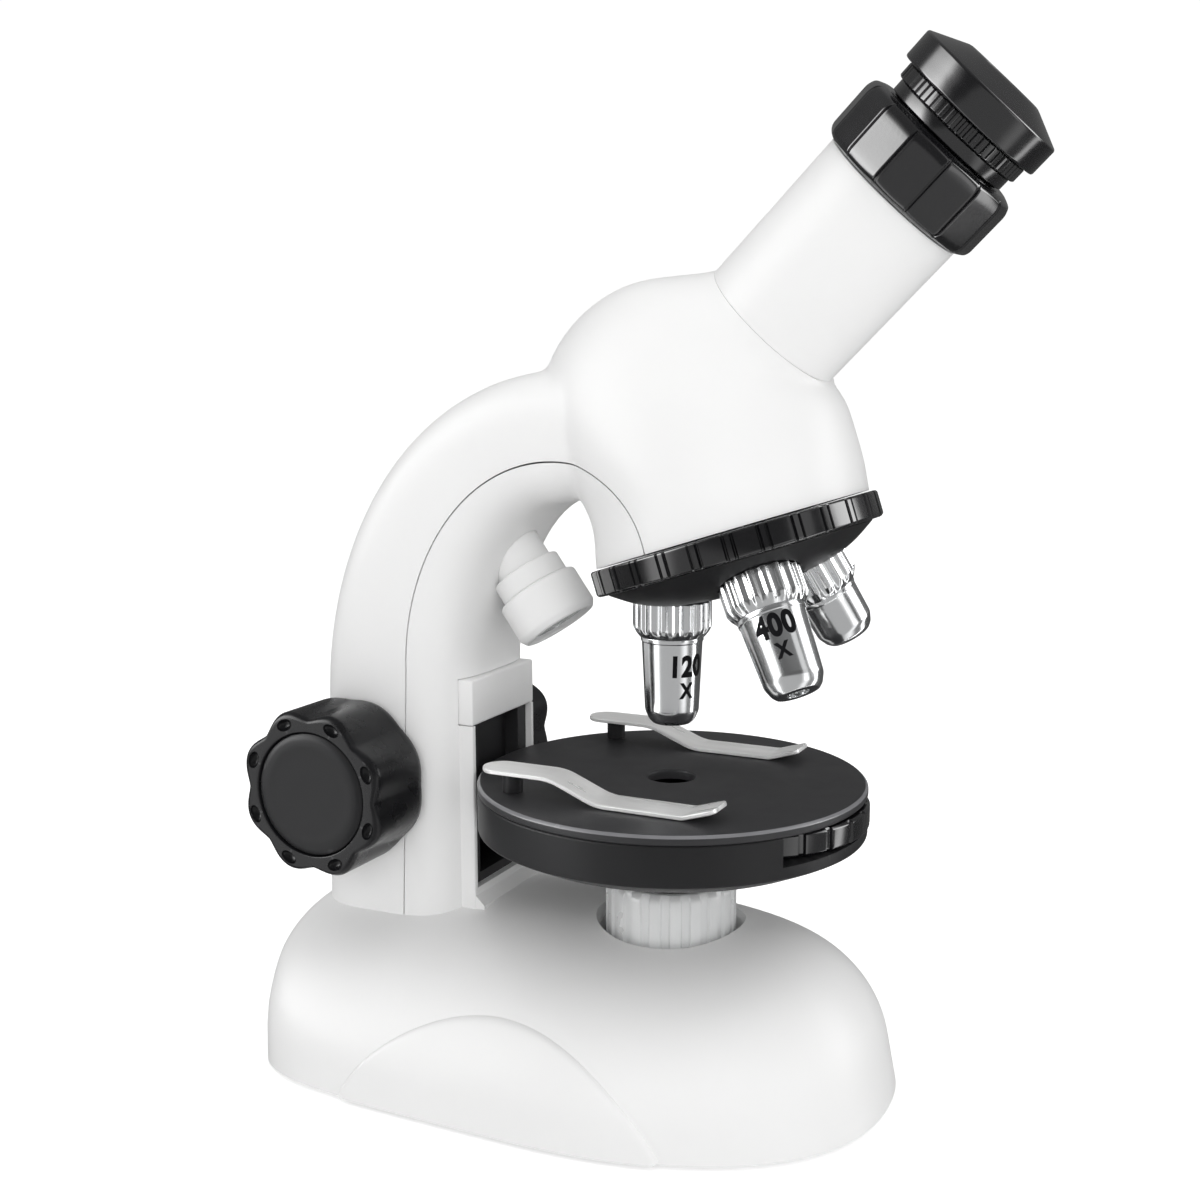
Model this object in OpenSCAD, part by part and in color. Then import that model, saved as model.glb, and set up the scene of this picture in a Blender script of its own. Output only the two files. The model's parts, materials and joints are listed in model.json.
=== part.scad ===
// Toy compound microscope: hollow base, curved arm and head, sliding stage,
// three-lens turret, zoom eyepiece and two lamps.
// The origin is on the table, under the lens axis. +X is the eyepiece side, +Z is up.

/* [Base] */
// Rear end of the base, behind the lens axis
base_rear = 83.0; // [78:0.5:90]
// Front end of the base, ahead of the lens axis
base_front = 47.2; // [44:0.2:52]
// Half the width of the base
base_half_w = 43.4; // [40:0.2:48]
// Height of the base's top face
base_top = 33.8; // [33:0.1:35]
// Thickness of the moulded walls
wall = 2.2; // [1.8:0.1:2.6]
// Height of the rubber feet
foot_h = 1.0; // [0.8:0.1:1.5]

/* [Arm and head] */
// Half the width of the arm
arm_half_w = 19.5; // [18:0.1:19.6]
// Front face of the arm, behind the lens axis
arm_front = 41.2; // [41:0.1:42]
// Depth of the arm at its foot
arm_depth = 35.9; // [34.9:0.2:38.9]
// Half the width of the stage slot
slot_half_w = 12.2; // [12:0.1:12.4]
// Radius of the head's lower rim
head_rim_r = 27.8; // [27:0.1:28.5]

/* [Stage] */
// Radius of the round stage
stage_r = 40; // [39:0.1:40]
// Height of the stage's top face
stage_top = 63.6; // [62:0.1:65]
// Radius of the hole in the stage
stage_hole_r = 4.9; // [3:0.1:6]
// Offset of the filter wheel's pivot from the lens axis
wheel_offset = 14; // [13:0.5:15]
// Radius of the filter wheel
wheel_r = 26.9; // [26:0.1:27]

/* [Focus] */
// Radius over the lobes of a focus knob
knob_r = 17.6; // [17:0.1:18]
// Width of a focus knob
knob_w = 16.8; // [14:0.1:18]
// Lobes round a focus knob
knob_lobes = 8; // [6:1:10]
// Radius of the focus shaft
shaft_r = 2.5; // [2:0.1:3]
// Teeth on the focus pinion
pinion_teeth = 12; // [12:1:12]

/* [Turret] */
// Tilt of the turret's axis from upright
turret_tilt = 17.9; // [17.9:0.1:17.9]
// Radius over the turret's grip
turret_r = 29.2; // [28.5:0.1:29.5]
// Pads round the turret's grip
turret_pads = 28; // [20:1:36]

/* [Eyepiece] */
// Radius of the eyepiece tube
tube_r = 15.1; // [15:0.05:15.3]
// Angle of the eyepiece tube above level
tube_rise = 45.2; // [45.2:0.1:45.2]
// Flats round the zoom ring
zoom_flats = 14; // [12:1:16]

/* [Hidden] */

// Fineness of round parts, and of the hulls' sections
$fn = 96;
section_points = 40;
// Clearances: parts that only touch, and shafts that turn
gap = 0.1;
running = 0.05;
thin = 0.05;

// Superellipse outline through four half axes: front, side, rear, with its own exponents
function power(v, e) = sign(v) * pow(abs(v), e);
function oval(front, side, rear, n_front, n_rear, count) = [
    for (i = [0 : count - 1])
        let (a = 360 * i / count, n = cos(a) > 0 ? n_front : n_rear)
        [(cos(a) > 0 ? front : rear) * power(cos(a), 2 / n), side * power(sin(a), 2 / n)]];

// ---- Base outline: straight walls with a drawn-in, rounded top ----
base_middle = -18.3;
base_steps = [0, 0.2, 0.4, 0.55, 0.68, 0.79, 0.88, 0.95, 0.985, 1];
front_draft = 6.6;
front_round = 22.5;
side_draft = 1.6;
side_round = 26.4;
side_reach = 38;
rear_round = 13.2;
base_n_front = 2.3;
base_n_rear = 5.6;
base_wall = 2.4;
plate_top = foot_h + 2.4;

// Draft plus an elliptical rounding of height r that reaches inwards
function drawn_in(z, draft, r, reach) =
    draft * z / base_top + reach * (1 - sqrt(max(0, 1 - pow(max(0, z - base_top + r) / r, 2))));

module base_slice(z, grow) {
    front = base_front - drawn_in(z, front_draft, front_round, front_round) - base_middle + grow;
    side = base_half_w - drawn_in(z, side_draft, side_round, side_reach) + grow;
    rear = base_middle + base_rear - drawn_in(z, 0, rear_round, rear_round) + grow;
    translate([base_middle, 0, z + min(0, grow)])
        linear_extrude(thin)
            polygon(oval(front, side, rear, base_n_front, base_n_rear, 56));
}

// Solid of the base's outer shape, grown or shrunk all round
module base_solid(grow = 0) {
    for (i = [0 : len(base_steps) - 2])
        hull() {
            base_slice(base_steps[i] * base_top, grow);
            base_slice(base_steps[i + 1] * base_top, grow);
        }
}

// Floor of the well round the lower lamp
well_r = 15.1;
well_floor = 26;
lamp_hole_r = 4;
screw_posts = [[34, 9], [34, -9], [-70, 28], [-70, -28]];
post_r = 3.5;
switch_z = 13;
switch_half_w = 9;
switch_half_h = 4.5;
switch_depth = 4.8;
pocket_depth = 4;

module base_shell() {
    color("white")
        difference() {
            union() {
                difference() {
                    base_solid();
                    base_solid(-base_wall);
                    cube([200, 120, 2 * foot_h], center = true);
                    cylinder(h = 60, r = well_r);
                }
                // Well for the lower lamp
                translate([0, 0, well_floor])
                    difference() {
                        cylinder(h = base_top - well_floor - 2.6, r = well_r + 1.8);
                        translate([0, 0, 2]) cylinder(h = 20, r = well_r);
                    }
                // Posts that the base's screws bite into, joined to the roof
                intersection() {
                    base_solid(-base_wall / 2);
                    for (p = screw_posts)
                        translate([p[0], p[1], plate_top + gap])
                            cylinder(h = base_top, r = post_r, $fn = 24);
                }
            }
            translate([0, 0, well_floor - 1]) cylinder(h = 5, r = lamp_hole_r);
            for (p = screw_posts)
                translate([p[0], p[1], 0]) cylinder(h = 14, r = 1.6, $fn = 24);
            translate([-base_rear, 0, switch_z])
                cube([3 * base_wall, 2 * switch_half_w, 2 * switch_half_h], center = true);
        }
}

// Cell bay in the bottom plate
plate_gap = 1.3;
bay_front = -22;
bay_rear = -76;
bay_half_w = 15.8;
bay_h = 16.6;
board_z = 21;
board_half = [16, 12];

module base_outline(shrink) {
    front = base_front - base_middle - shrink;
    rear = base_middle + base_rear - shrink;
    translate([base_middle, 0])
        polygon(oval(front, base_half_w - shrink, rear, base_n_front, base_n_rear, 56));
}

module base_plate() {
    color("gainsboro")
        difference() {
            union() {
                translate([0, 0, foot_h])
                    linear_extrude(plate_top - foot_h) base_outline(base_wall + plate_gap);
                translate([bay_rear - 1.6, -bay_half_w - 1.6, plate_top - 1])
                    cube([bay_front - bay_rear + 3.2, 2 * bay_half_w + 3.2, bay_h + 2.6]);
                for (x = [-1, 1], y = [-1, 1])
                    translate([x * (board_half[0] - 3), y * (board_half[1] - 3), plate_top - 1])
                        cylinder(h = board_z - plate_top + 1, r = 2.4);
            }
            translate([bay_rear, -bay_half_w, 0])
                cube([bay_front - bay_rear, 2 * bay_half_w, plate_top + bay_h]);
            for (p = screw_posts) {
                translate([p[0], p[1], 0]) cylinder(h = 10, r = 1.7);
                translate([p[0], p[1], 0]) cylinder(h = foot_h + 1.3, r = 3.2);
            }
        }
}

module battery_door() {
    color("gainsboro")
        translate([bay_rear + 0.3, -bay_half_w + 0.3, foot_h])
            difference() {
                cube([bay_front - bay_rear - 0.6, 2 * bay_half_w - 0.6, plate_top - foot_h]);
                // Finger grooves across the door
                for (i = [0 : 3])
                    translate([6 + 3 * i, bay_half_w - 8, -0.6]) cube([1.4, 16, 1.2]);
            }
}

foot_spots = [[30, 22], [30, -22], [-62, 33], [-62, -33]];

module rubber_feet() {
    color("dimgray")
        for (p = foot_spots)
            translate([p[0], p[1], 0]) cylinder(h = foot_h, r = 5);
}

screw_head_r = 3;

module base_screws() {
    color("silver")
        for (p = screw_posts)
            translate([p[0], p[1], 0]) {
                translate([0, 0, foot_h + 0.2])
                    difference() {
                        cylinder(h = 1, r = screw_head_r);
                        cube([4, 0.8, 1], center = true);
                        cube([0.8, 4, 1], center = true);
                    }
                translate([0, 0, foot_h + 1.2]) cylinder(h = 11, r = 1.5);
            }
}

// Half-moon trims that stand a little proud of the base's sides
moon_r = 39.9;
moon_centre = [-20, -18.1];
moon_proud = 0.8;

module side_panel() {
    color("white")
        intersection() {
            difference() {
                base_solid(moon_proud);
                base_solid(0.05);
            }
            translate([moon_centre[0], 0, moon_centre[1]])
                rotate([90, 0, 0]) cylinder(h = 60, r = moon_r);
            translate([-100, -100, foot_h]) cube([200, 100, 100]);
        }
}

module side_panel_near() {
    side_panel();
}

module side_panel_far() {
    mirror([0, 1, 0]) side_panel();
}

// Two round cells side by side, nose to tail
cell_r = 7.2;
cell_len = 50.5;
spring_h = 0.95;
cell_z = plate_top + 0.6 + cell_r;
cell_x = (bay_front + bay_rear) / 2;

module battery_cells() {
    color("seagreen")
        for (side = [-1, 1])
            translate([cell_x - side * cell_len / 2, side * (cell_r + 0.4), cell_z])
                rotate([0, 90 * side, 0]) {
                    cylinder(h = cell_len - 1.2, r = cell_r);
                    translate([0, 0, cell_len - 1.2]) cylinder(h = 1.2, r = 2.7);
                }
}

module battery_contacts() {
    color("silver")
        for (end = [bay_rear + 0.2, bay_front - 0.7], side = [-1, 1]) {
            translate([end, side * 7.6 - 5, cell_z - 5]) cube([0.5, 10, 10]);
            translate([end < cell_x ? end + 0.5 : end - spring_h, side * 7.6, cell_z])
                rotate([0, 90, 0])
                    difference() {
                        cylinder(h = spring_h, r = 3.4);
                        translate([0, 0, -1]) cylinder(h = 4, r = 2.9);
                    }
        }
}

module circuit_board() {
    color("darkgreen")
        difference() {
            translate([-board_half[0], -board_half[1], board_z])
                cube([2 * board_half[0], 2 * board_half[1], 1.6]);
            for (x = [-1, 1], y = [-1, 1])
                translate([x * (board_half[0] - 3), y * (board_half[1] - 3), board_z - 1])
                    cylinder(h = 4, r = 1.1);
        }
    color("dimgray")
        translate([8, -8, board_z + 1.6]) cube([5, 4, 1.4]);
}

// Three-way slide switch in the rear wall
button_half_w = 2.2;
button_travel = 3;
button_half_h = 1.8;

module switch_housing() {
    color("dimgray")
        difference() {
            translate([-base_rear + 0.4, -switch_half_w + gap, switch_z - switch_half_h + gap])
                cube([switch_depth, 2 * (switch_half_w - gap), 2 * (switch_half_h - gap)]);
            translate([-base_rear, -button_half_w - button_travel - 0.4, switch_z - button_half_h - 0.2])
                cube([pocket_depth, 2 * (button_half_w + button_travel + 0.4),
                      2 * (button_half_h + 0.2)]);
        }
}

module switch_button() {
    color("black")
        difference() {
            translate([-base_rear - 0.9, -button_half_w, switch_z - button_half_h])
                cube([pocket_depth + 0.6, 2 * button_half_w, 2 * button_half_h]);
            for (i = [-1 : 1])
                translate([-base_rear - 1.2, i * 1.3 - 0.25, switch_z - 3]) cube([0.8, 0.5, 6]);
        }
}

// ---- Arm and head: sections swept between an inner and an outer curve ----
arm_rear = arm_front + arm_depth;
arch_x = -20;
arch_z = 82;
arch_rise = 37.8;
back_z = 75;
back_rise = 71.6;
arm_n = 3.4;

// Inner and outer curve of the arm at one angle of the arch
function arm_inner(a) = [arch_x - (arm_front + arch_x) * cos(a), arch_z + arch_rise * sin(a)];
function arm_outer(a) = [arch_x - (arm_rear + arch_x) * cos(a), back_z + back_rise * sin(a)];

arm_sections = concat(
    [for (foot = [[24, 1.5], [60, 0.5]])
        [[-arm_front, foot[0]], [-arm_rear - foot[1], foot[0]]]],
    [for (a = [0 : 10 : 90]) [arm_inner(a), arm_outer(a)]],
    [[[-9, 123], [-7, 147.6]]]);

// Rings of the head: rear edge, front edge, half width
turret_at = [12.6, 115.1];
rim_step = head_rim_r * [cos(turret_tilt), sin(turret_tilt)];
tube_at = [17.3, 151.2];
tube_dir = [cos(tube_rise), sin(tube_rise)];
tube_side = [-sin(tube_rise), cos(tube_rise)];
seam_s = 4.9;
seam_at = tube_at + seam_s * tube_dir;
head_rings = [
    [turret_at - rim_step, turret_at + rim_step, head_rim_r],
    [[-15, 116], [38, 129], 27.6],
    [[-22, 128], [36.6, 134], 26.5],
    [[-26, 139], [35, 139], 24.6],
    [[-25.2, 148.5], [33.4, 141.9], 22.4],
    [[-18, 157.8], [32.1, 143.3], 20],
    [[-7, 163.5], [31.6, 143.8], 17.6],
    [seam_at + tube_r * tube_side, seam_at - tube_r * tube_side, tube_r]];

// Thin slab across two edge points, shrunk by inset
module section(a, b, half_w, n, inset) {
    middle = (a + b) / 2;
    half = norm(b - a) / 2 - inset;
    turn = atan2(b[1] - a[1], b[0] - a[0]);
    translate([middle[0], 0, middle[1]])
        rotate([0, -turn, 0])
            linear_extrude(thin, center = true)
                polygon(oval(half, half_w - inset, half, n, n, section_points));
}

module arm_solid(inset = 0) {
    for (i = [0 : len(arm_sections) - 2])
        hull()
            for (s = [arm_sections[i], arm_sections[i + 1]])
                section(s[0], s[1], arm_half_w, arm_n, inset);
}

module head_solid(inset = 0) {
    for (i = [0 : len(head_rings) - 2])
        hull()
            for (r = [head_rings[i], head_rings[i + 1]])
                section(r[0], r[1], r[2], 2, inset);
}

// Places children with +Z along the turret's axis, at the head's rim
module at_turret() {
    translate([turret_at[0], 0, turret_at[1]]) rotate([0, -turret_tilt, 0]) children();
}

// Places children with +Z along the eyepiece tube, from its base point
module at_tube(s = 0) {
    translate([tube_at[0], 0, tube_at[1]])
        rotate([0, 90 - tube_rise, 0]) translate([0, 0, s]) children();
}

// Side outline of the arch frame, inside the arm's moulding line
seam_x = 52;
seam_lean = 2.6;
seam_apex = [-17, 129];
seam_foot_z = 85;
seam_front = [23.5, 20];
function seam_curve() = concat(
    [for (a = [0 : 10 : 90])
        [seam_apex[0] - (seam_x + seam_apex[0]) * cos(a),
         seam_foot_z + (seam_apex[1] - seam_foot_z) * sin(a)]],
    [for (a = [80 : -10 : 0])
        [seam_apex[0] + seam_front[0] * cos(a),
         seam_apex[1] - seam_front[1] + seam_front[1] * sin(a)]]);

module arch_zone(shrink = 0) {
    rotate([90, 0, 0])
        linear_extrude(100, center = true)
            offset(delta = -shrink)
                polygon(concat([[-seam_x - seam_lean, 10]], seam_curve(), [[6.5, 95], [-24, 95], [-24, 10]]));
}

// Focus shaft's bushes, and where the upper lamp comes out of the frame
bush_at = [-64.4, 61.1];
bush_r = 4.5;
lamp_at = [-31.1, 100.8];
lamp_tilt = 35.8;
stem_r = 6.2;

// Places children with +Z down the upper lamp's beam, from the rear of its cap
module at_lamp() {
    translate([lamp_at[0], 0, lamp_at[1]]) rotate([0, 180 - lamp_tilt, 0]) children();
}

module outer_casting() {
    difference() {
        union() {
            arm_solid();
            head_solid();
        }
        arm_solid(wall);
        head_solid(wall);
        base_solid(0.05);
        at_turret() translate([0, 0, -2]) cylinder(h = 7, r = head_rim_r - 2.6);
        at_turret() translate([0, 0, -40]) cylinder(h = 40, r = 45);
        at_tube() cylinder(h = 20, r = tube_r - 1.9);
    }
}

module arm_shell() {
    color("white")
        difference() {
            outer_casting();
            arch_zone();
            translate([bush_at[0], 0, bush_at[1]])
                rotate([90, 0, 0]) cylinder(h = 60, r = bush_r + gap, center = true);
        }
}

// Slot that the stage slides in, the bracket above it and the ledge below it
slot_bottom = 37.4;
slot_top = 72.8;
bracket_top = 82.5;
bracket_half_w = 13.3;
bracket_front = 39.5;
rim_low = slot_bottom - 1.4;
ledge_front = 37.5;
ledge_half_w = 13;
ledge_top = slot_bottom - 0.3;

module arch_frame() {
    color("white")
        difference() {
            union() {
                intersection() {
                    outer_casting();
                    arch_zone(0.08);
                }
                // Sloped ledge between the slot's lower edge and the base
                rotate([90, 0, 0])
                    linear_extrude(2 * ledge_half_w, center = true)
                        polygon([[-arm_front - 1, base_top - 2], [-arm_front - 1, ledge_top],
                                 [-arm_front + 0.3, ledge_top], [-ledge_front, base_top + gap],
                                 [-ledge_front, base_top - 2]]);
                // Raised strips along both sides of the slot
                for (y = [-bracket_half_w, slot_half_w - 1])
                    translate([-arm_front - wall, y, rim_low])
                        cube([arm_front + wall - bracket_front, bracket_half_w - slot_half_w + 1,
                              slot_top - rim_low]);
            }
            base_solid(0.05);
            translate([-arm_front - 4, -slot_half_w, slot_bottom])
                cube([8, 2 * slot_half_w, slot_top - slot_bottom]);
            translate([-arm_front - 4, -bracket_half_w - gap, slot_top - 0.2])
                cube([8, 2 * (bracket_half_w + gap), bracket_top - slot_top + 0.3]);
            at_lamp() translate([0, 0, -25]) cylinder(h = 25, r = stem_r + gap);
            at_lamp() translate([0, 0, -lamp_ring_len - gap]) cylinder(h = 10, r = lamp_ring_r + gap);
        }
}

module stop_bracket() {
    color("white")
        translate([-arm_front - wall, -bracket_half_w, slot_top])
            cube([arm_front + wall - bracket_front, 2 * bracket_half_w, bracket_top - slot_top]);
}

// ---- Rack and pinion focus ----
tooth = 1;
pitch_r = tooth * pinion_teeth / 2;
rack_x = bush_at[0] + pitch_r;
pressure = 20;
backlash = 0.12;
face_w = 7;

// Involute flank point at radius r, as polar [radius, angle]
base_r = pitch_r * cos(pressure);
function involute(r) = sqrt(pow(r / base_r, 2) - 1) * 180 / PI - acos(min(1, base_r / r));
half_tooth = 90 / pinion_teeth - backlash / pitch_r * 90 / PI + involute(pitch_r);
root_r = pitch_r - 1.25 * tooth;
flank = [for (i = [0 : 5]) base_r + (pitch_r + tooth - base_r) * i / 5];

module pinion_tooth() {
    foot = [root_r * cos(half_tooth) - 0.8, root_r * sin(half_tooth)];
    linear_extrude(face_w, center = true)
        polygon(concat(
            [foot],
            [for (r = flank) let (a = half_tooth - involute(r)) r * [cos(a), sin(a)]],
            [for (i = [5 : -1 : 0])
                let (a = half_tooth - involute(flank[i])) flank[i] * [cos(a), -sin(a)]],
            [[foot[0], -foot[1]]]));
}

module focus_pinion() {
    color("white")
        translate([bush_at[0], 0, bush_at[1]])
            rotate([90, 0, 0])
                difference() {
                    union() {
                        cylinder(h = face_w, r = root_r, center = true);
                        for (k = [0 : pinion_teeth - 1])
                            rotate(360 * (k + 0.5) / pinion_teeth) pinion_tooth();
                    }
                    cylinder(h = 2 * face_w, r = shaft_r + 0.02, center = true);
                }
}

module focus_shaft() {
    color("silver")
        translate([bush_at[0], 0, bush_at[1]])
            rotate([90, 0, 0]) cylinder(h = 2 * (knob_in + knob_bore - gap), r = shaft_r, center = true);
}

bush_in = 14;

module shaft_bushes() {
    color("gray")
        for (side = [0, 180])
            translate([bush_at[0], 0, bush_at[1]])
                rotate([90, 0, side])
                    difference() {
                        translate([0, 0, bush_in]) cylinder(h = arm_half_w - bush_in, r = bush_r);
                        cylinder(h = 40, r = shaft_r + running);
                    }
}

// Lobed knob with a shallow dish for its cap; a hollow between lobes points straight up
knob_in = 20;
cap_r = 12.7;
cap_h = 1.4;
knob_bore = 11.4;
lobe_depth = 0.9;
knob_points = 96;

module knob_outline() {
    polygon([for (i = [0 : knob_points - 1])
        let (a = 360 * i / knob_points, r = knob_r - lobe_depth * (1 + cos(knob_lobes * a)))
        r * [cos(a), sin(a)]]);
}

// Places children with +Z out of the near side, from a knob's inner face
module at_knob() {
    translate([bush_at[0], -knob_in, bush_at[1]]) rotate([90, 0, 0]) children();
}

module knob() {
    color([0.07, 0.07, 0.08])
        at_knob()
            difference() {
                linear_extrude(knob_w) knob_outline();
                translate([0, 0, knob_w - cap_h]) cylinder(h = 5, r = cap_r + gap);
                translate([0, 0, -1]) cylinder(h = knob_bore + 1, r = shaft_r + 0.02);
                // Hollow side that faces the arm
                translate([0, 0, -1])
                    difference() {
                        cylinder(h = 9, r = knob_r - 4.2);
                        cylinder(h = 9, r = 5.5);
                    }
            }
}

module knob_cap() {
    color([0.05, 0.05, 0.06])
        at_knob()
            translate([0, 0, knob_w - cap_h + 0.02])
                difference() {
                    cylinder(h = cap_h - 0.3, r = cap_r);
                    translate([0, 0, 0.8]) cylinder(h = 2, r = cap_r - 1.4);
                }
}

module knob_near() {
    knob();
}

module knob_far() {
    mirror([0, 1, 0]) knob();
}

module knob_cap_near() {
    knob_cap();
}

module knob_cap_far() {
    mirror([0, 1, 0]) knob_cap();
}

// Fixed guide for the carriage: tall rails inside the arm, with a short lip in the slot
rail_in = 8.6;
lip_front = -41;
rail_front = -46.3;
rail_rear = -56;
channel_bottom = 35;
channel_top = 84;
web_top = 39.5;

module slide_channel() {
    color([0.08, 0.08, 0.09]) {
        for (side = [-1, 1], part = [[rail_front, channel_bottom, channel_top],
                                     [lip_front, slot_bottom + gap, slot_top - gap]])
            translate([rail_rear, side > 0 ? rail_in : -slot_half_w, part[1]])
                cube([part[0] - rail_rear, slot_half_w - rail_in, part[2] - part[1]]);
        translate([rail_rear, -slot_half_w + 1, channel_bottom])
            cube([rail_front - rail_rear, 2 * slot_half_w - 2, web_top - channel_bottom]);
        translate([rail_rear, -slot_half_w + 1, slot_bottom + gap])
            cube([lip_front - rail_rear, 2 * slot_half_w - 2, web_top - slot_bottom - gap]);
    }
}

// Carriage behind the slot, its dust cover, and the stage's tongue that it holds
carriage_half_w = 8.5;
carriage_front = -46.05;
carriage_low = 47;
carriage_high = 74;
dust_front = -44.2;
dust_low = 46.5;
dust_high = 81;
tongue_half_w = 8;
tongue_low = 51.5;
tongue_high = 61;

module rack_tooth() {
    tip = tooth * (PI / 4 - tan(pressure)) - backlash / 2;
    root = tooth * (PI / 4 + 1.25 * tan(pressure)) - backlash / 2;
    polygon([[1.3 * tooth, -root], [-tooth, -tip], [-tooth, tip], [1.3 * tooth, root]]);
}

module stage_carriage() {
    rack_rows = floor((carriage_high - bush_at[1]) / (PI * tooth)) - 1;
    color([0.1, 0.1, 0.11])
        difference() {
            union() {
                translate([rack_x + 1.25 * tooth, -carriage_half_w, carriage_low])
                    cube([carriage_front - rack_x - 1.25 * tooth, 2 * carriage_half_w,
                          carriage_high - carriage_low]);
                translate([carriage_front - 0.5, -carriage_half_w, dust_low])
                    cube([dust_front - carriage_front + 0.5, 2 * carriage_half_w,
                          dust_high - dust_low]);
                translate([rack_x, 0, bush_at[1]])
                    rotate([90, 0, 0])
                        linear_extrude(face_w, center = true)
                            for (k = [-rack_rows : rack_rows])
                                translate([0, k * PI * tooth]) rack_tooth();
            }
            // Socket for the stage's tongue
            translate([carriage_front - 3, -tongue_half_w - gap, tongue_low - gap])
                cube([10, 2 * (tongue_half_w + gap), tongue_high - tongue_low + 2 * gap]);
        }
}

// ---- Stage ----
stage_floor = 50.6;
stage_plate_h = 2;
wall_low = 53.8;
cavity_low = 56;
cavity_r = wheel_r + 0.7;
wheel_low = 56.5;
wheel_high = 61.2;
wheel_pin_r = 2.5;
light_r = 9;
window_half = 36;
clip_at = [-24, 24];
clip_pin_r = 1.5;

module stage_plate() {
    color([0.12, 0.12, 0.13])
        translate([0, 0, stage_top - stage_plate_h])
            difference() {
                rotate_extrude()
                    polygon([[0, 0], [stage_r, 0], [stage_r, stage_plate_h - 0.5],
                             [stage_r - 0.5, stage_plate_h], [0, stage_plate_h]]);
                translate([0, 0, -1]) cylinder(h = 5, r = stage_hole_r);
                for (y = [-1, 1])
                    translate([clip_at[0], y * clip_at[1], -1])
                        cylinder(h = 5, r = clip_pin_r + running);
            }
}

module stage_body() {
    body_top = stage_top - stage_plate_h;
    color([0.12, 0.12, 0.13])
        difference() {
            union() {
                rotate_extrude()
                    polygon([[0, stage_floor], [33.5, stage_floor], [stage_r - 1.2, wall_low - 0.6],
                             [stage_r, wall_low], [stage_r, body_top], [0, body_top]]);
                translate([carriage_front - 2.9, -tongue_half_w, tongue_low])
                    cube([14, 2 * tongue_half_w, tongue_high - tongue_low]);
            }
            // Cavity for the filter wheel, open through the window
            translate([wheel_offset, 0, cavity_low])
                cylinder(h = body_top - cavity_low + 1, r = cavity_r);
            translate([0, 0, cavity_low])
                intersection() {
                    difference() {
                        cylinder(h = body_top - cavity_low + 1, r = stage_r + 2);
                        translate([0, 0, -1]) cylinder(h = 20, r = stage_r - 7);
                    }
                    linear_extrude(20)
                        polygon([[0, 0], 60 * [cos(window_half), -sin(window_half)], [60, 0],
                                 60 * [cos(window_half), sin(window_half)]]);
                }
            translate([0, 0, stage_floor - 1]) cylinder(h = 20, r = light_r);
            translate([wheel_offset, 0, stage_floor - 1]) cylinder(h = 20, r = wheel_pin_r + 0.02);
            for (y = [-1, 1])
                translate([clip_at[0], y * clip_at[1], body_top - 4])
                    cylinder(h = 5, r = clip_pin_r + running);
        }
}

module wheel_pivot() {
    color("silver")
        translate([wheel_offset, 0, stage_floor - 1.2]) {
            cylinder(h = wheel_high + 0.3 - stage_floor + 1.2, r = wheel_pin_r);
            cylinder(h = 1.15, r = 4.5);
        }
}

// Filter wheel with a row of windows and a grooved grip
wheel_windows = 6;
window_r = 5.2;
wheel_grooves = 26;

module wheel_grip(r, h, count, half_groove, depth) {
    difference() {
        cylinder(h = h, r = r);
        for (k = [0 : count - 1])
            rotate(360 * (k + 0.5) / count)
                translate([r + half_groove - depth, 0, -1])
                    cylinder(h = h + 2, r = half_groove, $fn = 24);
    }
}

module filter_wheel() {
    color([0.08, 0.08, 0.09])
        translate([wheel_offset, 0, wheel_low])
            difference() {
                wheel_grip(wheel_r, wheel_high - wheel_low, wheel_grooves, 0.7, 0.7);
                translate([0, 0, 1.6])
                    difference() {
                        cylinder(h = 9, r = wheel_r - 2.6);
                        cylinder(h = 9, r = 5);
                    }
                for (k = [0 : wheel_windows - 1])
                    rotate(180 + 360 * k / wheel_windows)
                        translate([wheel_offset, 0, -1])
                            cylinder(h = 9, r = k == 0 ? window_r : window_r - 0.6);
                translate([0, 0, -1]) cylinder(h = 9, r = wheel_pin_r + running);
            }
}

module wheel_filters() {
    tints = ["red", "gold", "limegreen", "deepskyblue", "orchid"];
    translate([wheel_offset, 0, wheel_low])
        for (k = [1 : wheel_windows - 1])
            color(tints[k - 1])
                rotate(180 + 360 * k / wheel_windows)
                    translate([wheel_offset, 0, 0.3])
                        cylinder(h = 1, r = window_r - 0.62);
}

// Bent leaf clip on a short post
clip_w = 8;
clip_tail = 30.2;
clip_high = 4.2;
clip_t = 0.8;
clip_bend = [-14, -4];
clip_tip_x = 14;
clip_end = 20.4;
clip_lift = 0.15;

function lifted(points, t) = concat(points,
    [for (i = [len(points) - 1 : -1 : 0]) points[i] + [0, t]]);

module clip() {
    color("silver")
        intersection() {
            translate([0, -clip_at[1], stage_top])
                rotate([90, 0, 0])
                    linear_extrude(clip_w, center = true)
                        polygon(lifted([[-clip_tail, clip_high], [clip_bend[0], clip_high],
                                        [clip_bend[1], clip_lift], [clip_tip_x, clip_lift],
                                        [clip_end, clip_lift + 2]], clip_t));
            translate([0, -clip_at[1], stage_top - 1])
                linear_extrude(10)
                    union() {
                        translate([-clip_tail + clip_w / 2, 0]) circle(d = clip_w);
                        translate([-clip_tail + clip_w / 2, -clip_w / 2])
                            square([clip_end + clip_tail - clip_w, clip_w]);
                        translate([clip_end - clip_w / 2, 0]) circle(d = clip_w);
                    }
        }
}

module clip_post() {
    color([0.1, 0.1, 0.11])
        translate([clip_at[0], -clip_at[1], stage_top]) {
            translate([0, 0, 0.1]) cylinder(h = clip_high - 0.1, r = 2);
            translate([0, 0, -5.5]) cylinder(h = 5.7, r = clip_pin_r);
        }
}

module clip_near() {
    clip();
}

module clip_post_near() {
    clip_post();
}

module clip_far() {
    mirror([0, 1, 0]) clip();
}

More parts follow.
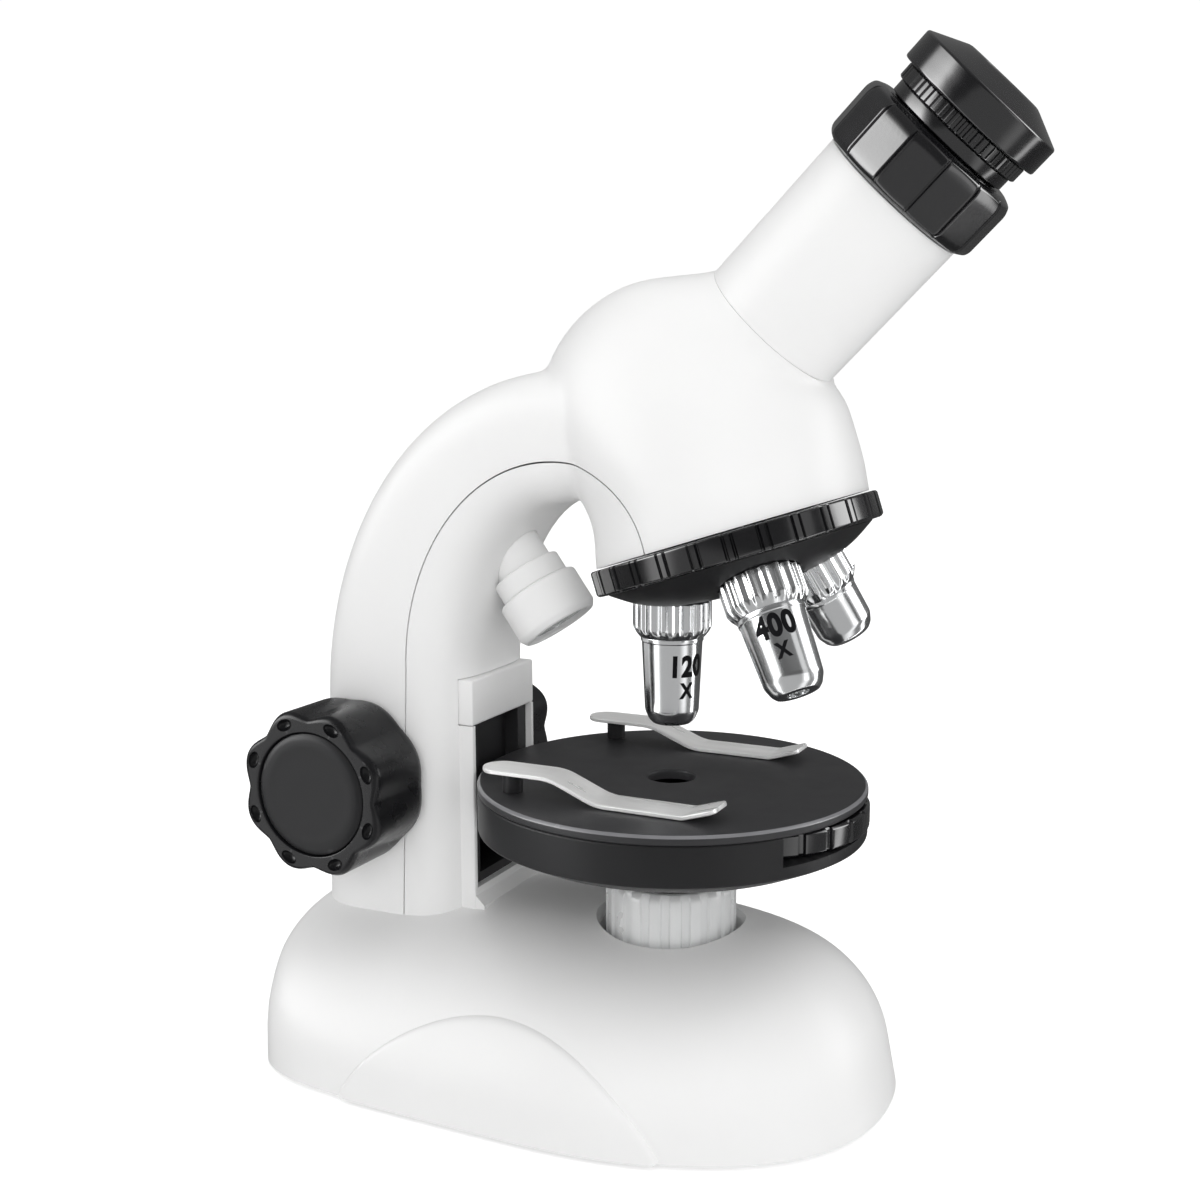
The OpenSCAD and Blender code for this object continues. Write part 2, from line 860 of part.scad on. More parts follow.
module clip_post_far() {
    mirror([0, 1, 0]) clip_post();
}

// ---- Lower lamp under the stage ----
illum_r = 13.6;
illum_top = 42.4;
illum_ribs = 20;

module illuminator_housing() {
    color("whitesmoke")
        translate([0, 0, well_floor + 2])
            difference() {
                wheel_grip(illum_r, illum_top - well_floor - 2, illum_ribs, 0.8, 0.6);
                translate([0, 0, 1.5]) cylinder(h = 30, r = illum_r - 2.4);
                translate([0, 0, -1]) cylinder(h = 5, r = lamp_hole_r);
            }
}

module illuminator_lens() {
    color("lightcyan")
        translate([0, 0, illum_top - 3])
            rotate_extrude()
                polygon([[0, 0], [illum_r - 2.5, 0], [illum_r - 2.5, 1.2], [9, 2], [5, 2.6], [0, 2.8]]);
}

module led(r, h) {
    cylinder(h = h - r, r = r);
    translate([0, 0, h - r])
        rotate_extrude()
            intersection() {
                circle(r = r);
                square(r);
            }
    cylinder(h = 1, r = r + 0.4);
}

module illuminator_led() {
    color("lightyellow")
        translate([0, 0, board_z + 1.65]) led(2.5, 8.6);
}

// ---- Upper lamp under the arch ----
cap_len = 9.5;
lamp_cap_r = 9;
lamp_ring_len = 4.6;
lamp_ring_r = 7.6;

module lamp_cap() {
    color("white")
        at_lamp()
            difference() {
                rotate_extrude()
                    polygon([[0, 0], [lamp_cap_r - 0.4, 0], [lamp_cap_r, 0.4],
                             [lamp_cap_r, cap_len - 1.4], [lamp_cap_r - 1, cap_len],
                             [0, cap_len]]);
                translate([0, 0, 1.8]) cylinder(h = 20, r = lamp_cap_r - 2);
                translate([0, 0, -1]) cylinder(h = 20, r = 3.2);
            }
}

module lamp_ring() {
    color("white")
        at_lamp()
            translate([0, 0, -lamp_ring_len])
                difference() {
                    cylinder(h = lamp_ring_len - 0.02, r = lamp_ring_r);
                    translate([0, 0, -1]) cylinder(h = 20, r = 3.2);
                }
}

stem_len = 14;

module lamp_stem() {
    color("white")
        at_lamp()
            translate([0, 0, -lamp_ring_len - stem_len])
                difference() {
                    cylinder(h = stem_len - 0.02, r = stem_r);
                    translate([0, 0, -1]) cylinder(h = 20, r = 3.2);
                }
}

module lamp_lens() {
    color("lightcyan")
        at_lamp()
            translate([0, 0, cap_len - 2.4]) cylinder(h = 1.2, r = lamp_cap_r - 2.05);
}

module lamp_led() {
    color("lightyellow")
        at_lamp() translate([0, 0, -3]) led(2.5, 8);
}

// ---- Turret and objectives ----
grip_low = -5.5;
grip_top = -0.3;
pivot_r = 3;
apex_z = turret_at[1] + turret_at[0] / tan(turret_tilt);
objective_turns = [0, 120, -120];
mount_r = 5;

// Places children with +Z down one objective, from where all three axes meet
module at_objective(turn) {
    at_turret()
        rotate(turn)
            translate([0, 0, norm([turret_at[0], apex_z - turret_at[1]])])
                rotate([0, 180 + turret_tilt, 0]) children();
}

module head_plate() {
    color("gray")
        difference() {
            at_turret()
                difference() {
                    translate([0, 0, 0.2]) cylinder(h = 3, r = head_rim_r - 2.7);
                    translate([0, 0, -1]) cylinder(h = 10, r = pivot_r + 0.02);
                }
            translate([0, 0, 90]) cylinder(h = 40, r = mount_r);
        }
}

module turret_pivot() {
    color("silver")
        at_turret() {
            translate([0, 0, -12.6]) cylinder(h = 17, r = pivot_r);
            translate([0, 0, -13.8]) cylinder(h = 1.5, r = 5);
            translate([0, 0, 3.4]) cylinder(h = 1.6, r = 5);
        }
}

module turret_ring() {
    color([0.07, 0.07, 0.08])
        at_turret()
            translate([0, 0, grip_low])
                difference() {
                    wheel_grip(turret_r, grip_top - grip_low, turret_pads, 0.6, 0.8);
                    translate([0, 0, -1]) cylinder(h = 20, r = 24);
                }
}

module turret_body() {
    color([0.07, 0.07, 0.08])
        difference() {
            at_turret()
                rotate_extrude()
                    polygon([[0, -12.2], [8, -12.2], [16, -11.2], [22, -9], [27, -5.6],
                             [23.95, -5.55], [23.95, grip_top], [0, grip_top]]);
            at_turret() translate([0, 0, -20]) cylinder(h = 30, r = pivot_r + running);
            for (t = objective_turns)
                at_objective(t) {
                    cylinder(h = 60, r = mount_r + 0.05);
                    translate([0, 0, ring_from - 0.05]) cylinder(h = 20, r = knurl_r + gap);
                }
        }
}

// Distances down an objective's axis, and the radius of its grooved ring
ring_from = 53.4;
knurl_r = 8;
barrel_from = 61;
objective_ends = [79, 76.8, 71.8];
mount_from = 47;

// Barrel outline for a tip at the given distance from the shared point
module objective(turn, tip, r_top, r_tip) {
    color("silver")
        at_objective(turn)
            rotate_extrude()
                polygon([[3.4, mount_from], [mount_r, mount_from], [mount_r, ring_from - 0.02],
                         [5.2, ring_from - 0.02], [5.2, barrel_from + 0.02], [r_top, barrel_from + 0.02],
                         [r_tip, tip - 2.6], [r_tip - 0.8, tip - 0.8], [r_tip - 1.8, tip],
                         [2.2, tip], [2.2, tip - 1.6], [3.4, tip - 3]]);
}

module objective_120x() {
    objective(objective_turns[0], objective_ends[0], 6.4, 5.5);
}

module objective_400x() {
    objective(objective_turns[1], objective_ends[1], 6.6, 5.7);
}

module objective_1200x() {
    objective(objective_turns[2], objective_ends[2], 6.4, 6.0);
}

module objective_rings() {
    color("silver")
        for (t = objective_turns)
            at_objective(t)
                translate([0, 0, ring_from])
                    difference() {
                        wheel_grip(knurl_r, barrel_from - ring_from, 18, 0.7, 0.45);
                        translate([0, 0, -1]) cylinder(h = 20, r = 5.22);
                    }
}

module objective_lenses() {
    color("lightcyan")
        for (k = [0 : 2])
            at_objective(objective_turns[k])
                translate([0, 0, objective_ends[k] - 1.5]) cylinder(h = 1, r = 2.15);
}

// ---- Head optics ----
mirror_at = [0, 133.8];
mirror_lean = 90 - (90 - tube_rise) / 2;

module at_mirror() {
    translate([mirror_at[0], 0, mirror_at[1]]) rotate([0, -mirror_lean, 0]) children();
}

module head_mirror() {
    color("lightblue")
        at_mirror() translate([-11, -8, 0]) cube([22, 16, 1.5]);
}

module mirror_holder() {
    color("dimgray")
        at_mirror()
            difference() {
                translate([-12.5, -9.5, 0]) cube([25, 19, 4]);
                translate([-11.1, -8.1, -1]) cube([22.2, 16.2, 2.6]);
                translate([-9, -6, -1]) cube([18, 12, 8]);
            }
}

// ---- Eyepiece: distances along the tube, and radii ----
tube_end = 37.2;
zoom_low = 37.4;
zoom_high = 49.8;
zoom_r = 17.15;
guide_r = 11.8;
spigot_r = 13.6;
barrel_low = 16;
neck_top = 52.2;
knurl_top = 55.4;
cup_top = 61.1;
dome_top = 64;

module eyepiece_tube() {
    color("white")
        at_tube(seam_s + 0.05)
            rotate_extrude()
                polygon([[tube_r - 1.9, 0], [tube_r, 0], [tube_r, tube_end - seam_s],
                         [spigot_r, tube_end - seam_s], [spigot_r, tube_end - seam_s + 3.6],
                         [guide_r + running + 0.02, tube_end - seam_s + 3.6],
                         [guide_r + running + 0.02, 24], [tube_r - 1.9, 22.6]]);
}

module zoom_ring() {
    ring_h = zoom_high - zoom_low;
    color([0.07, 0.07, 0.08])
        at_tube(zoom_low)
            difference() {
                wheel_grip(zoom_r, ring_h, zoom_flats, 0.5, 0.5);
                translate([0, 0, -1]) cylinder(h = 20, r = guide_r + 0.4);
                translate([0, 0, -1]) cylinder(h = 4.9, r = spigot_r + running);
            }
}

module eyepiece_barrel() {
    color([0.08, 0.08, 0.09])
        at_tube() {
            difference() {
                union() {
                    translate([0, 0, barrel_low]) cylinder(h = neck_top - barrel_low, r = guide_r);
                    translate([0, 0, zoom_high + 0.3])
                        cylinder(h = neck_top - zoom_high - 0.3, r = 13);
                    translate([0, 0, neck_top]) wheel_grip(13.8, knurl_top - neck_top, 60, 0.25, 0.3);
                    translate([0, 0, knurl_top - 0.5]) cylinder(h = 3.5, r = 11);
                }
                translate([0, 0, barrel_low - 1]) cylinder(h = 80, r = 9.4);
                translate([0, 0, barrel_low - 1]) cylinder(h = 3, r = 10.6);
            }
        }
}

module eyecup() {
    color([0.06, 0.06, 0.07])
        at_tube()
            rotate_extrude()
                polygon([[11.05, knurl_top + 0.1], [15.1, knurl_top + 0.1], [15.3, knurl_top + 0.4],
                         [15.3, cup_top - 0.3], [15.1, cup_top], [8, dome_top], [6.5, dome_top],
                         [6.5, dome_top - 2], [9, knurl_top + 3.1], [11.05, knurl_top + 3.1]]);
}

module eye_lens() {
    color("lightcyan")
        at_tube(knurl_top + 0.4) cylinder(h = 2.2, r = 9.35);
}

module field_lens() {
    color("lightcyan")
        at_tube(barrel_low) cylinder(h = 1.9, r = 10.55);
}

base_shell();
base_plate();
rubber_feet();
side_panel_near();
side_panel_far();
battery_cells();
battery_contacts();
battery_door();
base_screws();
circuit_board();
switch_housing();
switch_button();
arm_shell();
arch_frame();
slide_channel();
stop_bracket();
shaft_bushes();
head_plate();
head_mirror();
mirror_holder();
turret_pivot();
illuminator_housing();
illuminator_lens();
illuminator_led();
lamp_stem();
lamp_ring();
lamp_cap();
lamp_lens();
lamp_led();
eyepiece_tube();
zoom_ring();
eyepiece_barrel();
eyecup();
eye_lens();
field_lens();
stage_plate();
stage_body();
stage_carriage();
wheel_pivot();
filter_wheel();
wheel_filters();
clip_near();
clip_post_near();
clip_far();
clip_post_far();
focus_shaft();
focus_pinion();
knob_near();
knob_far();
knob_cap_near();
knob_cap_far();
turret_ring();
turret_body();
objective_120x();
objective_400x();
objective_1200x();
objective_rings();
objective_lenses();
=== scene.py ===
"""Toy microscope: smooth moulded shells, turned and knurled parts and their finishes, round the CAD frame.

Lengths are in millimetres until a mesh is made. The origin is on the table under the lens axis.
"""
import json
import math

import bmesh
import bpy
import numpy as np
from mathutils import Matrix, Vector


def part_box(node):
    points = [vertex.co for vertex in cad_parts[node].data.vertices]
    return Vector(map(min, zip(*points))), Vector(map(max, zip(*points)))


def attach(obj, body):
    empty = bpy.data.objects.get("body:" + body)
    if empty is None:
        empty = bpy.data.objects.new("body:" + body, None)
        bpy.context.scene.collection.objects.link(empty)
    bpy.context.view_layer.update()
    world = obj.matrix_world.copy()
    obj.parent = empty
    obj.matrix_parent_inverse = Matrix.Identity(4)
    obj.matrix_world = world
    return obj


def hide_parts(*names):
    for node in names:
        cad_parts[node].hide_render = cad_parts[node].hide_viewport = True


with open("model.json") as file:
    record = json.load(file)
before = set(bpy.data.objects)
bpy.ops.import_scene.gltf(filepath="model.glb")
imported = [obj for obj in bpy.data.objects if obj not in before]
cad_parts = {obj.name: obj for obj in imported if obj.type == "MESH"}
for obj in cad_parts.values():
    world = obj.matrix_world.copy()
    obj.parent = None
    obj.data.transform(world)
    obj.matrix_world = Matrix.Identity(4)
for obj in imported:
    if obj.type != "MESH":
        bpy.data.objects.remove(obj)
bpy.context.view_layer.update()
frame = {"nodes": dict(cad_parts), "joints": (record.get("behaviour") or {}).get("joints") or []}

MM = 0.001
# Away from the camera's side, and the place of what stands upright on the lens axis
FAR = Vector((0, 1, 0))
HERE = Matrix.Identity(4)


# ---- Places taken from the frame ----

def node_box(node):
    """Lowest and highest corner of a CAD node, in millimetres."""
    low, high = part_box(node)
    return low / MM, high / MM


def placed(at, axis):
    """Matrix with its origin at a point and +Z along an axis in the XZ plane, keeping +Y."""
    z = Vector(axis).normalized()
    x = FAR.cross(z)
    return Matrix.Translation(Vector(at)) @ Matrix((x, FAR, z)).transposed().to_4x4()


def cos_sin(degrees):
    """Cosine and sine of an angle."""
    return math.cos(math.radians(degrees)), math.sin(math.radians(degrees))


def turned_by(degrees, axis):
    """Rotation about X, Y or Z through the origin."""
    return Matrix.Rotation(math.radians(degrees), 4, axis)


joints = {joint["name"]: joint for joint in frame["joints"]}
SIDES = {"near": -1, "far": 1}


def joint_place(name):
    """Matrix at a joint, with +Z along its axis."""
    return placed(Vector(joints[name]["pos_m"]) / MM, joints[name]["axis"])


TURRET = joint_place("turret_turn")
TUBE = joint_place("zoom_turn")
KNOB_AXIS = Vector(joints["focus_turn"]["pos_m"]) / MM
# The upper lamp: its cap's back, and how far it leans from straight down
LAMP_AT, LAMP_TILT = (-31.1, 0, 100.8), 35.8
LAMP = Matrix.Translation(LAMP_AT) @ turned_by(180 - LAMP_TILT, "Y")
TURRET_TILT = math.degrees(math.acos(joints["turret_turn"]["axis"][2]))
# Distance from the turret's joint to the point where its axis and the objectives' axes meet
APEX = TURRET.translation.x / math.sin(math.radians(TURRET_TILT))


def objective_place(turn):
    """+Z runs down one objective, from the point where the three axes meet."""
    return (TURRET @ turned_by(turn, "Z") @ Matrix.Translation((0, 0, APEX))
            @ turned_by(180 + TURRET_TILT, "Y"))


# ---- Mesh building ----

def add(name, data):
    """New object in the scene."""
    obj = bpy.data.objects.new(name, data)
    bpy.context.scene.collection.objects.link(obj)
    return obj


def make(name, points, faces):
    """Object from points in millimetres and faces, with its normals turned outwards."""
    mesh = bpy.data.meshes.new(name)
    mesh.from_pydata((np.asarray(points, float) * MM).tolist(), [], faces)
    obj = add(name, mesh)
    bm = bmesh.new()
    bm.from_mesh(mesh)
    bmesh.ops.remove_doubles(bm, verts=bm.verts, dist=1e-7)
    bmesh.ops.recalc_face_normals(bm, faces=bm.faces)
    bm.to_mesh(mesh)
    bm.free()
    return obj


def bake_modifiers(obj):
    """Applies the modifiers to the mesh."""
    graph = bpy.context.evaluated_depsgraph_get()
    mesh = bpy.data.meshes.new_from_object(obj.evaluated_get(graph))
    obj.modifiers.clear()
    obj.data = mesh
    return obj


def combine(obj, tool, operation="DIFFERENCE"):
    """Cuts obj with a closed tool object, or joins or intersects them, and removes the tool."""
    step = obj.modifiers.new("combine", "BOOLEAN")
    step.object = tool
    step.operation = operation
    step.solver = "MANIFOLD"
    bake_modifiers(obj)
    bpy.data.objects.remove(tool)
    return obj


def dress(obj, body, material, replaces=(), crease=32):
    """Smooth shading with sharp creases, the finish, and the body that the piece rides on."""
    mesh = obj.data
    mesh.shade_smooth()
    mesh.set_sharp_from_angle(angle=math.radians(crease))
    mesh.materials.clear()
    mesh.materials.append(material)
    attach(obj, body)
    if replaces:
        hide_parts(*replaces)
    return obj


def stack(rings, loop=False, caps=True):
    """Points and faces of a skin through rings of equal length. With loop the last ring joins the first."""
    rows, count = len(rings), len(rings[0])
    points = np.concatenate([np.asarray(ring, float) for ring in rings])
    faces = []
    for row in range(rows if loop else rows - 1):
        a, b = row * count, (row + 1) % rows * count
        for i in range(count):
            j = (i + 1) % count
            faces.append((a + i, a + j, b + j, b + i))
    if caps and not loop:
        faces.append(tuple(range(count)))
        faces.append(tuple(range((rows - 1) * count, rows * count)))
    return points, faces


def softened(outline, radius, closed=False, steps=4):
    """Rounds an outline's corners. A point may carry its own radius as a third value."""
    points = [tuple(p) + (radius,) if len(p) == 2 else tuple(p) for p in outline]
    result = []
    for i, (x, y, r) in enumerate(points):
        if not closed and i in (0, len(points) - 1) or r <= 0:
            result.append((x, y))
            continue
        here = np.array((x, y))
        before = np.array(points[i - 1][:2]) - here
        after = np.array(points[(i + 1) % len(points)][:2]) - here
        reach = min(r, 0.48 * np.linalg.norm(before), 0.48 * np.linalg.norm(after))
        start = here + before / np.linalg.norm(before) * reach
        end = here + after / np.linalg.norm(after) * reach
        for k in range(steps + 1):
            t = k / steps
            result.append(tuple((1 - t) ** 2 * start + 2 * t * (1 - t) * here + t * t * end))
    return result


def refined(outline, step, closed=False):
    """Adds points along an outline so that none is further than step from the next."""
    result = []
    points = list(outline) + ([outline[0]] if closed else [])
    for a, b in zip(points[:-1], points[1:]):
        count = max(1, math.ceil(math.dist(a, b) / step))
        result += [tuple(np.array(a) + (np.array(b) - np.array(a)) * k / count) for k in range(count)]
    return result if closed else result + [points[-1]]


def lathe(name, outline, place, count=144, soft=0.25, wave=None, step=None):
    """Turned solid. The outline is (radius, height) points: closed round a bore, or open from axis to axis.

    wave(angles, radius, height) gives the radius round the ring."""
    closed = outline[0][0] > 0
    profile = softened(outline, soft, closed)
    if step:
        profile = refined(profile, step, closed)
    angles = np.arange(count) * 2 * math.pi / count
    rings = []
    for r, z in profile:
        radii = np.full(count, max(r, 0.0))
        if wave and r > 0:
            radii = wave(angles, r, z)
        rings.append(np.column_stack([radii * np.cos(angles), radii * np.sin(angles), np.full(count, z)]))
    points, faces = stack(rings, loop=closed, caps=False)
    matrix = np.array(place)
    return make(name, points @ matrix[:3, :3].T + matrix[:3, 3], faces)


def plug(r, low, high, place, count=144):
    """Round tool solid that cuts a bore or a flat end."""
    return lathe("plug", [(0, low), (r, low), (r, high), (0, high)], place, count, soft=0)


def grooved(top, count, groove, depth, inner):
    """Wave that cuts grooves of a given width and depth into the outermost surface of a ring."""
    edge = 0.35

    def wave(angles, r, z):
        pitch = 2 * math.pi / count
        across = np.abs((angles / pitch + 0.5) % 1 - 0.5) * pitch * top
        cut = np.clip((groove / 2 + edge - across) / edge, 0, 1)
        cut = cut * cut * (3 - 2 * cut)
        share = min(1.0, max(0.0, (r - inner) / (top - inner)))
        return r - depth * cut * share
    return wave


def prism(name, outline, half_width):
    """Solid with an outline in the XZ plane, through to both sides."""
    rings = [[(x, y, z) for x, z in outline] for y in (-half_width, half_width)]
    return make(name, *stack(rings))


def block(name, low, high, bevel=0.0):
    """Box between two corners, with rounded edges."""
    (x0, y0, z0), (x1, y1, z1) = low, high
    rings = [[(x0, y0, z), (x1, y0, z), (x1, y1, z), (x0, y1, z)] for z in (z0, z1)]
    obj = make(name, *stack(rings))
    if bevel:
        step = obj.modifiers.new("edges", "BEVEL")
        step.width = bevel * MM
        step.segments = 3
        bake_modifiers(obj)
    return obj


def superellipse(front, side, rear, n_front, n_rear, count):
    """Outline round the origin with its own exponent ahead and behind."""
    angles = np.arange(count) * 2 * math.pi / count
    c, s = np.cos(angles), np.sin(angles)
    n = np.where(c > 0, n_front, n_rear)
    x = np.where(c > 0, front, rear) * np.sign(c) * np.abs(c) ** (2 / n)
    y = side * np.sign(s) * np.abs(s) ** (2 / n)
    return np.column_stack([x, y])


def evenly(outline, count):
    """The same closed outline with points at equal distances along it."""
    loop = np.vstack([outline, outline[:1]])
    lengths = np.concatenate([[0], np.cumsum(np.linalg.norm(np.diff(loop, axis=0), axis=1))])
    stops = np.linspace(0, lengths[-1], count, endpoint=False)
    return np.column_stack([np.interp(stops, lengths, loop[:, k]) for k in range(2)])


# ---- Finishes ----

def mixed(tree, factor, a, b):
    """Mix of two colours. Each value is a plain one or another node's output."""
    node = tree.nodes.new("ShaderNodeMix")
    node.data_type = "RGBA"
    for name, value in (("Factor", factor), ("A", a), ("B", b)):
        if isinstance(value, bpy.types.NodeSocket):
            tree.links.new(value, node.inputs[name])
        else:
            node.inputs[name].default_value = value
    return node.outputs["Result"]


def put(node, **values):
    """Sets a node's inputs. An underscore in a name stands for a space."""
    for name, value in values.items():
        node.inputs[name.replace("_", " ")].default_value = value


def mapped(tree, value, source, target):
    """A node's output taken from one range to another, and held inside it."""
    node = tree.nodes.new("ShaderNodeMapRange")
    put(node, From_Min=source[0], From_Max=source[1], To_Min=target[0], To_Max=target[1])
    tree.links.new(value, node.inputs["Value"])
    return node.outputs["Result"]


def finish(name, color, rough, metallic=0.0, coat=0.0, mottle=0.05, mottle_size=8.0, grain=0.02,
           grain_size=0.35, stretch=(1, 1, 1), streak=0.0, specular=0.5, painted_edge_highlight=0.0):
    """Moulded or machined finish: slow colour mottling, uneven gloss, fine grain, and paler edges painted on
    as highlights.
    """
    material = bpy.data.materials.new(name)
    material.use_nodes = True
    tree = material.node_tree
    nodes, links = tree.nodes, tree.links
    shader = nodes["Principled BSDF"]
    put(shader, Metallic=metallic, Coat_Weight=coat, Coat_Roughness=0.08, Specular_IOR_Level=specular)
    place = nodes.new("ShaderNodeTexCoord")
    scale = nodes.new("ShaderNodeMapping")
    put(scale, Scale=stretch)
    links.new(place.outputs["Object"], scale.inputs["Vector"])

    def noise(size, detail):
        node = nodes.new("ShaderNodeTexNoise")
        put(node, Scale=1 / (size * MM), Detail=detail)
        links.new(scale.outputs["Vector"], node.inputs["Vector"])
        return node.outputs["Fac"]

    def spread(value, low, high):
        return mapped(tree, value, (0.3, 0.7), (low, high))

    slow = noise(mottle_size, 3)
    fine = noise(grain_size, 2)
    darker = [c * (1 - mottle) for c in color] + [1]
    lighter = [min(1, c * (1 + mottle)) for c in color] + [1]
    shade = mixed(tree, spread(slow, 0, 1), darker, lighter)
    # Painted highlight: convex edges, found by pointiness, are painted paler to stand in for the light they
    # catch.
    if painted_edge_highlight:
        edges = nodes.new("ShaderNodeNewGeometry").outputs["Pointiness"]
        highlight_color = [min(1, c * 2.2 + 0.03) for c in color] + [1]
        shade = mixed(tree, mapped(tree, edges, (0.53, 0.62), (0, painted_edge_highlight)), shade, highlight_color)
    links.new(shade, shader.inputs["Base Color"])
    links.new(spread(slow, rough * (1 - streak - 0.12), rough * (1 + streak + 0.12)),
              shader.inputs["Roughness"])
    bump = nodes.new("ShaderNodeBump")
    put(bump, Strength=0.6, Distance=grain * MM)
    links.new(fine, bump.inputs["Height"])
    links.new(bump.outputs["Normal"], shader.inputs["Normal"])
    return material


WHITE = finish("white_shell", (0.88, 0.88, 0.877), 0.38, coat=0.02, specular=0.2,
               mottle=0.012, mottle_size=30, grain=0.012, grain_size=0.5)
PLATE = finish("plate_plastic", (0.80, 0.80, 0.80), 0.55, mottle=0.02, mottle_size=12, grain=0.03)
# The black plastics below get paler edges painted on as highlights.
BLACK_GLOSS = finish("black_gloss", (0.005, 0.005, 0.006), 0.17, coat=0.4, mottle=0.15, mottle_size=6,
                     grain=0.008, grain_size=0.6, painted_edge_highlight=0.15, specular=0.8)
BLACK_KNOB = finish("black_knob", (0.008, 0.008, 0.009), 0.28, mottle=0.12, mottle_size=6,
                    grain=0.01, grain_size=0.5, painted_edge_highlight=0.9, specular=0.3)
BLACK_SATIN = finish("black_satin", (0.015, 0.015, 0.016), 0.42, mottle=0.06, mottle_size=14,
                     grain=0.02, grain_size=0.3, painted_edge_highlight=0.3, specular=0.25)
# Painted light: the stage plate's black is paler than the body's black, for the light that falls on its top.
LIT_STAGE_BLACK = finish("lit_stage_black", (0.034, 0.034, 0.036), 0.45, mottle=0.06, mottle_size=14,
                     grain=0.02, grain_size=0.3, specular=0.3)
# Painted highlight: a grey band on the stage's top edge stands in for the light line along its rim.
STAGE_RIM_HIGHLIGHT = finish("stage_rim_highlight", (0.2, 0.2, 0.21), 0.25, mottle=0.1, grain=0.01, specular=0.6)
CHROME = finish("chrome", (0.84, 0.85, 0.86), 0.17, metallic=1, mottle=0.03, grain=0.006,
                grain_size=0.12, stretch=(1, 1, 0.05), streak=0.2)
CLIP_STEEL = finish("clip_steel", (0.93, 0.93, 0.92), 0.34, metallic=0.35, mottle=0.05, mottle_size=3,
                    grain=0.02, grain_size=0.12, stretch=(0.06, 1, 1), streak=0.15)
STEEL = finish("steel", (0.55, 0.55, 0.56), 0.3, metallic=1, mottle=0.06, grain=0.01, grain_size=0.15)
RUBBER = finish("rubber", (0.05, 0.05, 0.05), 0.85, mottle=0.15, mottle_size=2, grain=0.05)
CELL = finish("cell_sleeve", (0.04, 0.20, 0.16), 0.3, coat=0.3, mottle=0.1, grain=0.01)
BOARD = finish("solder_mask", (0.02, 0.13, 0.05), 0.35, mottle=0.2, mottle_size=1.5, grain=0.02)
NYLON = finish("nylon", (0.72, 0.71, 0.68), 0.45, mottle=0.03, grain=0.02)
GREY = finish("inner_grey", (0.12, 0.12, 0.125), 0.55, mottle=0.08, grain=0.03)
MIRROR = finish("mirror", (0.88, 0.9, 0.92), 0.03, metallic=1, mottle=0.01, grain=0.001)


def white(shell, node, crease=32):
    """Dresses a white piece of the stand, in place of a CAD node."""
    dress(shell, "stand", WHITE, [node], crease)


def clear(name, color, rough=0.04, transmission=1.0):
    """Clear or frosted plastic with faint unevenness."""
    material = finish(name, color, rough, mottle=0.03, grain=0.004, grain_size=1.0)
    put(material.node_tree.nodes["Principled BSDF"], Transmission_Weight=transmission, IOR=1.49)
    return material


LENS = clear("lens", (0.93, 0.96, 0.97))
FROSTED = clear("frosted", (0.95, 0.96, 0.96), rough=0.3, transmission=0.2)
INK = finish("ink", (0.005, 0.005, 0.006), 0.6, mottle=0.1, grain=0.01, specular=0.1)

# ---- Camera, light and floor ----
CAMERA_AT, CAMERA_AIM = Vector((116.5, -272.2, 146.6)), Vector((-16.3, 0, 99.25))
CAMERA_ROLL, FOCAL_LENGTH = -0.18, 44.37


def point_at(obj, place, target, roll=0.0):
    """Puts a camera or a light at a place and turns it to a target. Both are in metres."""
    obj.location = place
    obj.rotation_mode = "QUATERNION"
    obj.rotation_quaternion = ((Vector(target) - Vector(place)).to_track_quat("-Z", "Y")
                               @ Matrix.Rotation(math.radians(roll), 3, "Z").to_quaternion())


camera = add("camera", bpy.data.cameras.new("camera"))
point_at(camera, CAMERA_AT * MM, CAMERA_AIM * MM, CAMERA_ROLL)
camera.data.sensor_width = 36
camera.data.lens = FOCAL_LENGTH
camera.data.clip_start = 0.01
camera.data.clip_end = 20
bpy.context.scene.camera = camera
bpy.context.scene.view_settings.view_transform = "Standard"


def area_light(name, place, target, size, power, height=None):
    """Soft rectangular light that points at a target."""
    light = bpy.data.lights.new(name, "AREA")
    light.shape = "RECTANGLE"
    light.size = size
    light.size_y = height or size
    light.energy = power
    obj = add(name, light)
    point_at(obj, place, target)
    return obj


CENTRE, LOW_CENTRE = (-0.015, 0, 0.1), (-0.02, 0, 0.04)
area_light("key", (-0.75, -0.45, 0.85), CENTRE, 0.7, 0.5)
area_light("side", (0.8, -0.25, 0.35), CENTRE, 0.3, 0.5, height=0.9)
top = area_light("top", (0.1, 0.1, 1.1), CENTRE, 0.8, 2.2)
fill = area_light("fill", (0.42, -0.9, 0.48), LOW_CENTRE, 0.8, 2.7, height=0.4)
top.visible_glossy = fill.visible_glossy = False


# Light on matt surfaces, how strong the mirrored bands are, and the backdrop that the camera sees
EVEN_LIGHT, BRIGHT_SIDES, BACKDROP = (0.7, 0.7, 0.7, 1), 8.0, (1.02, 1.02, 1.02, 1)


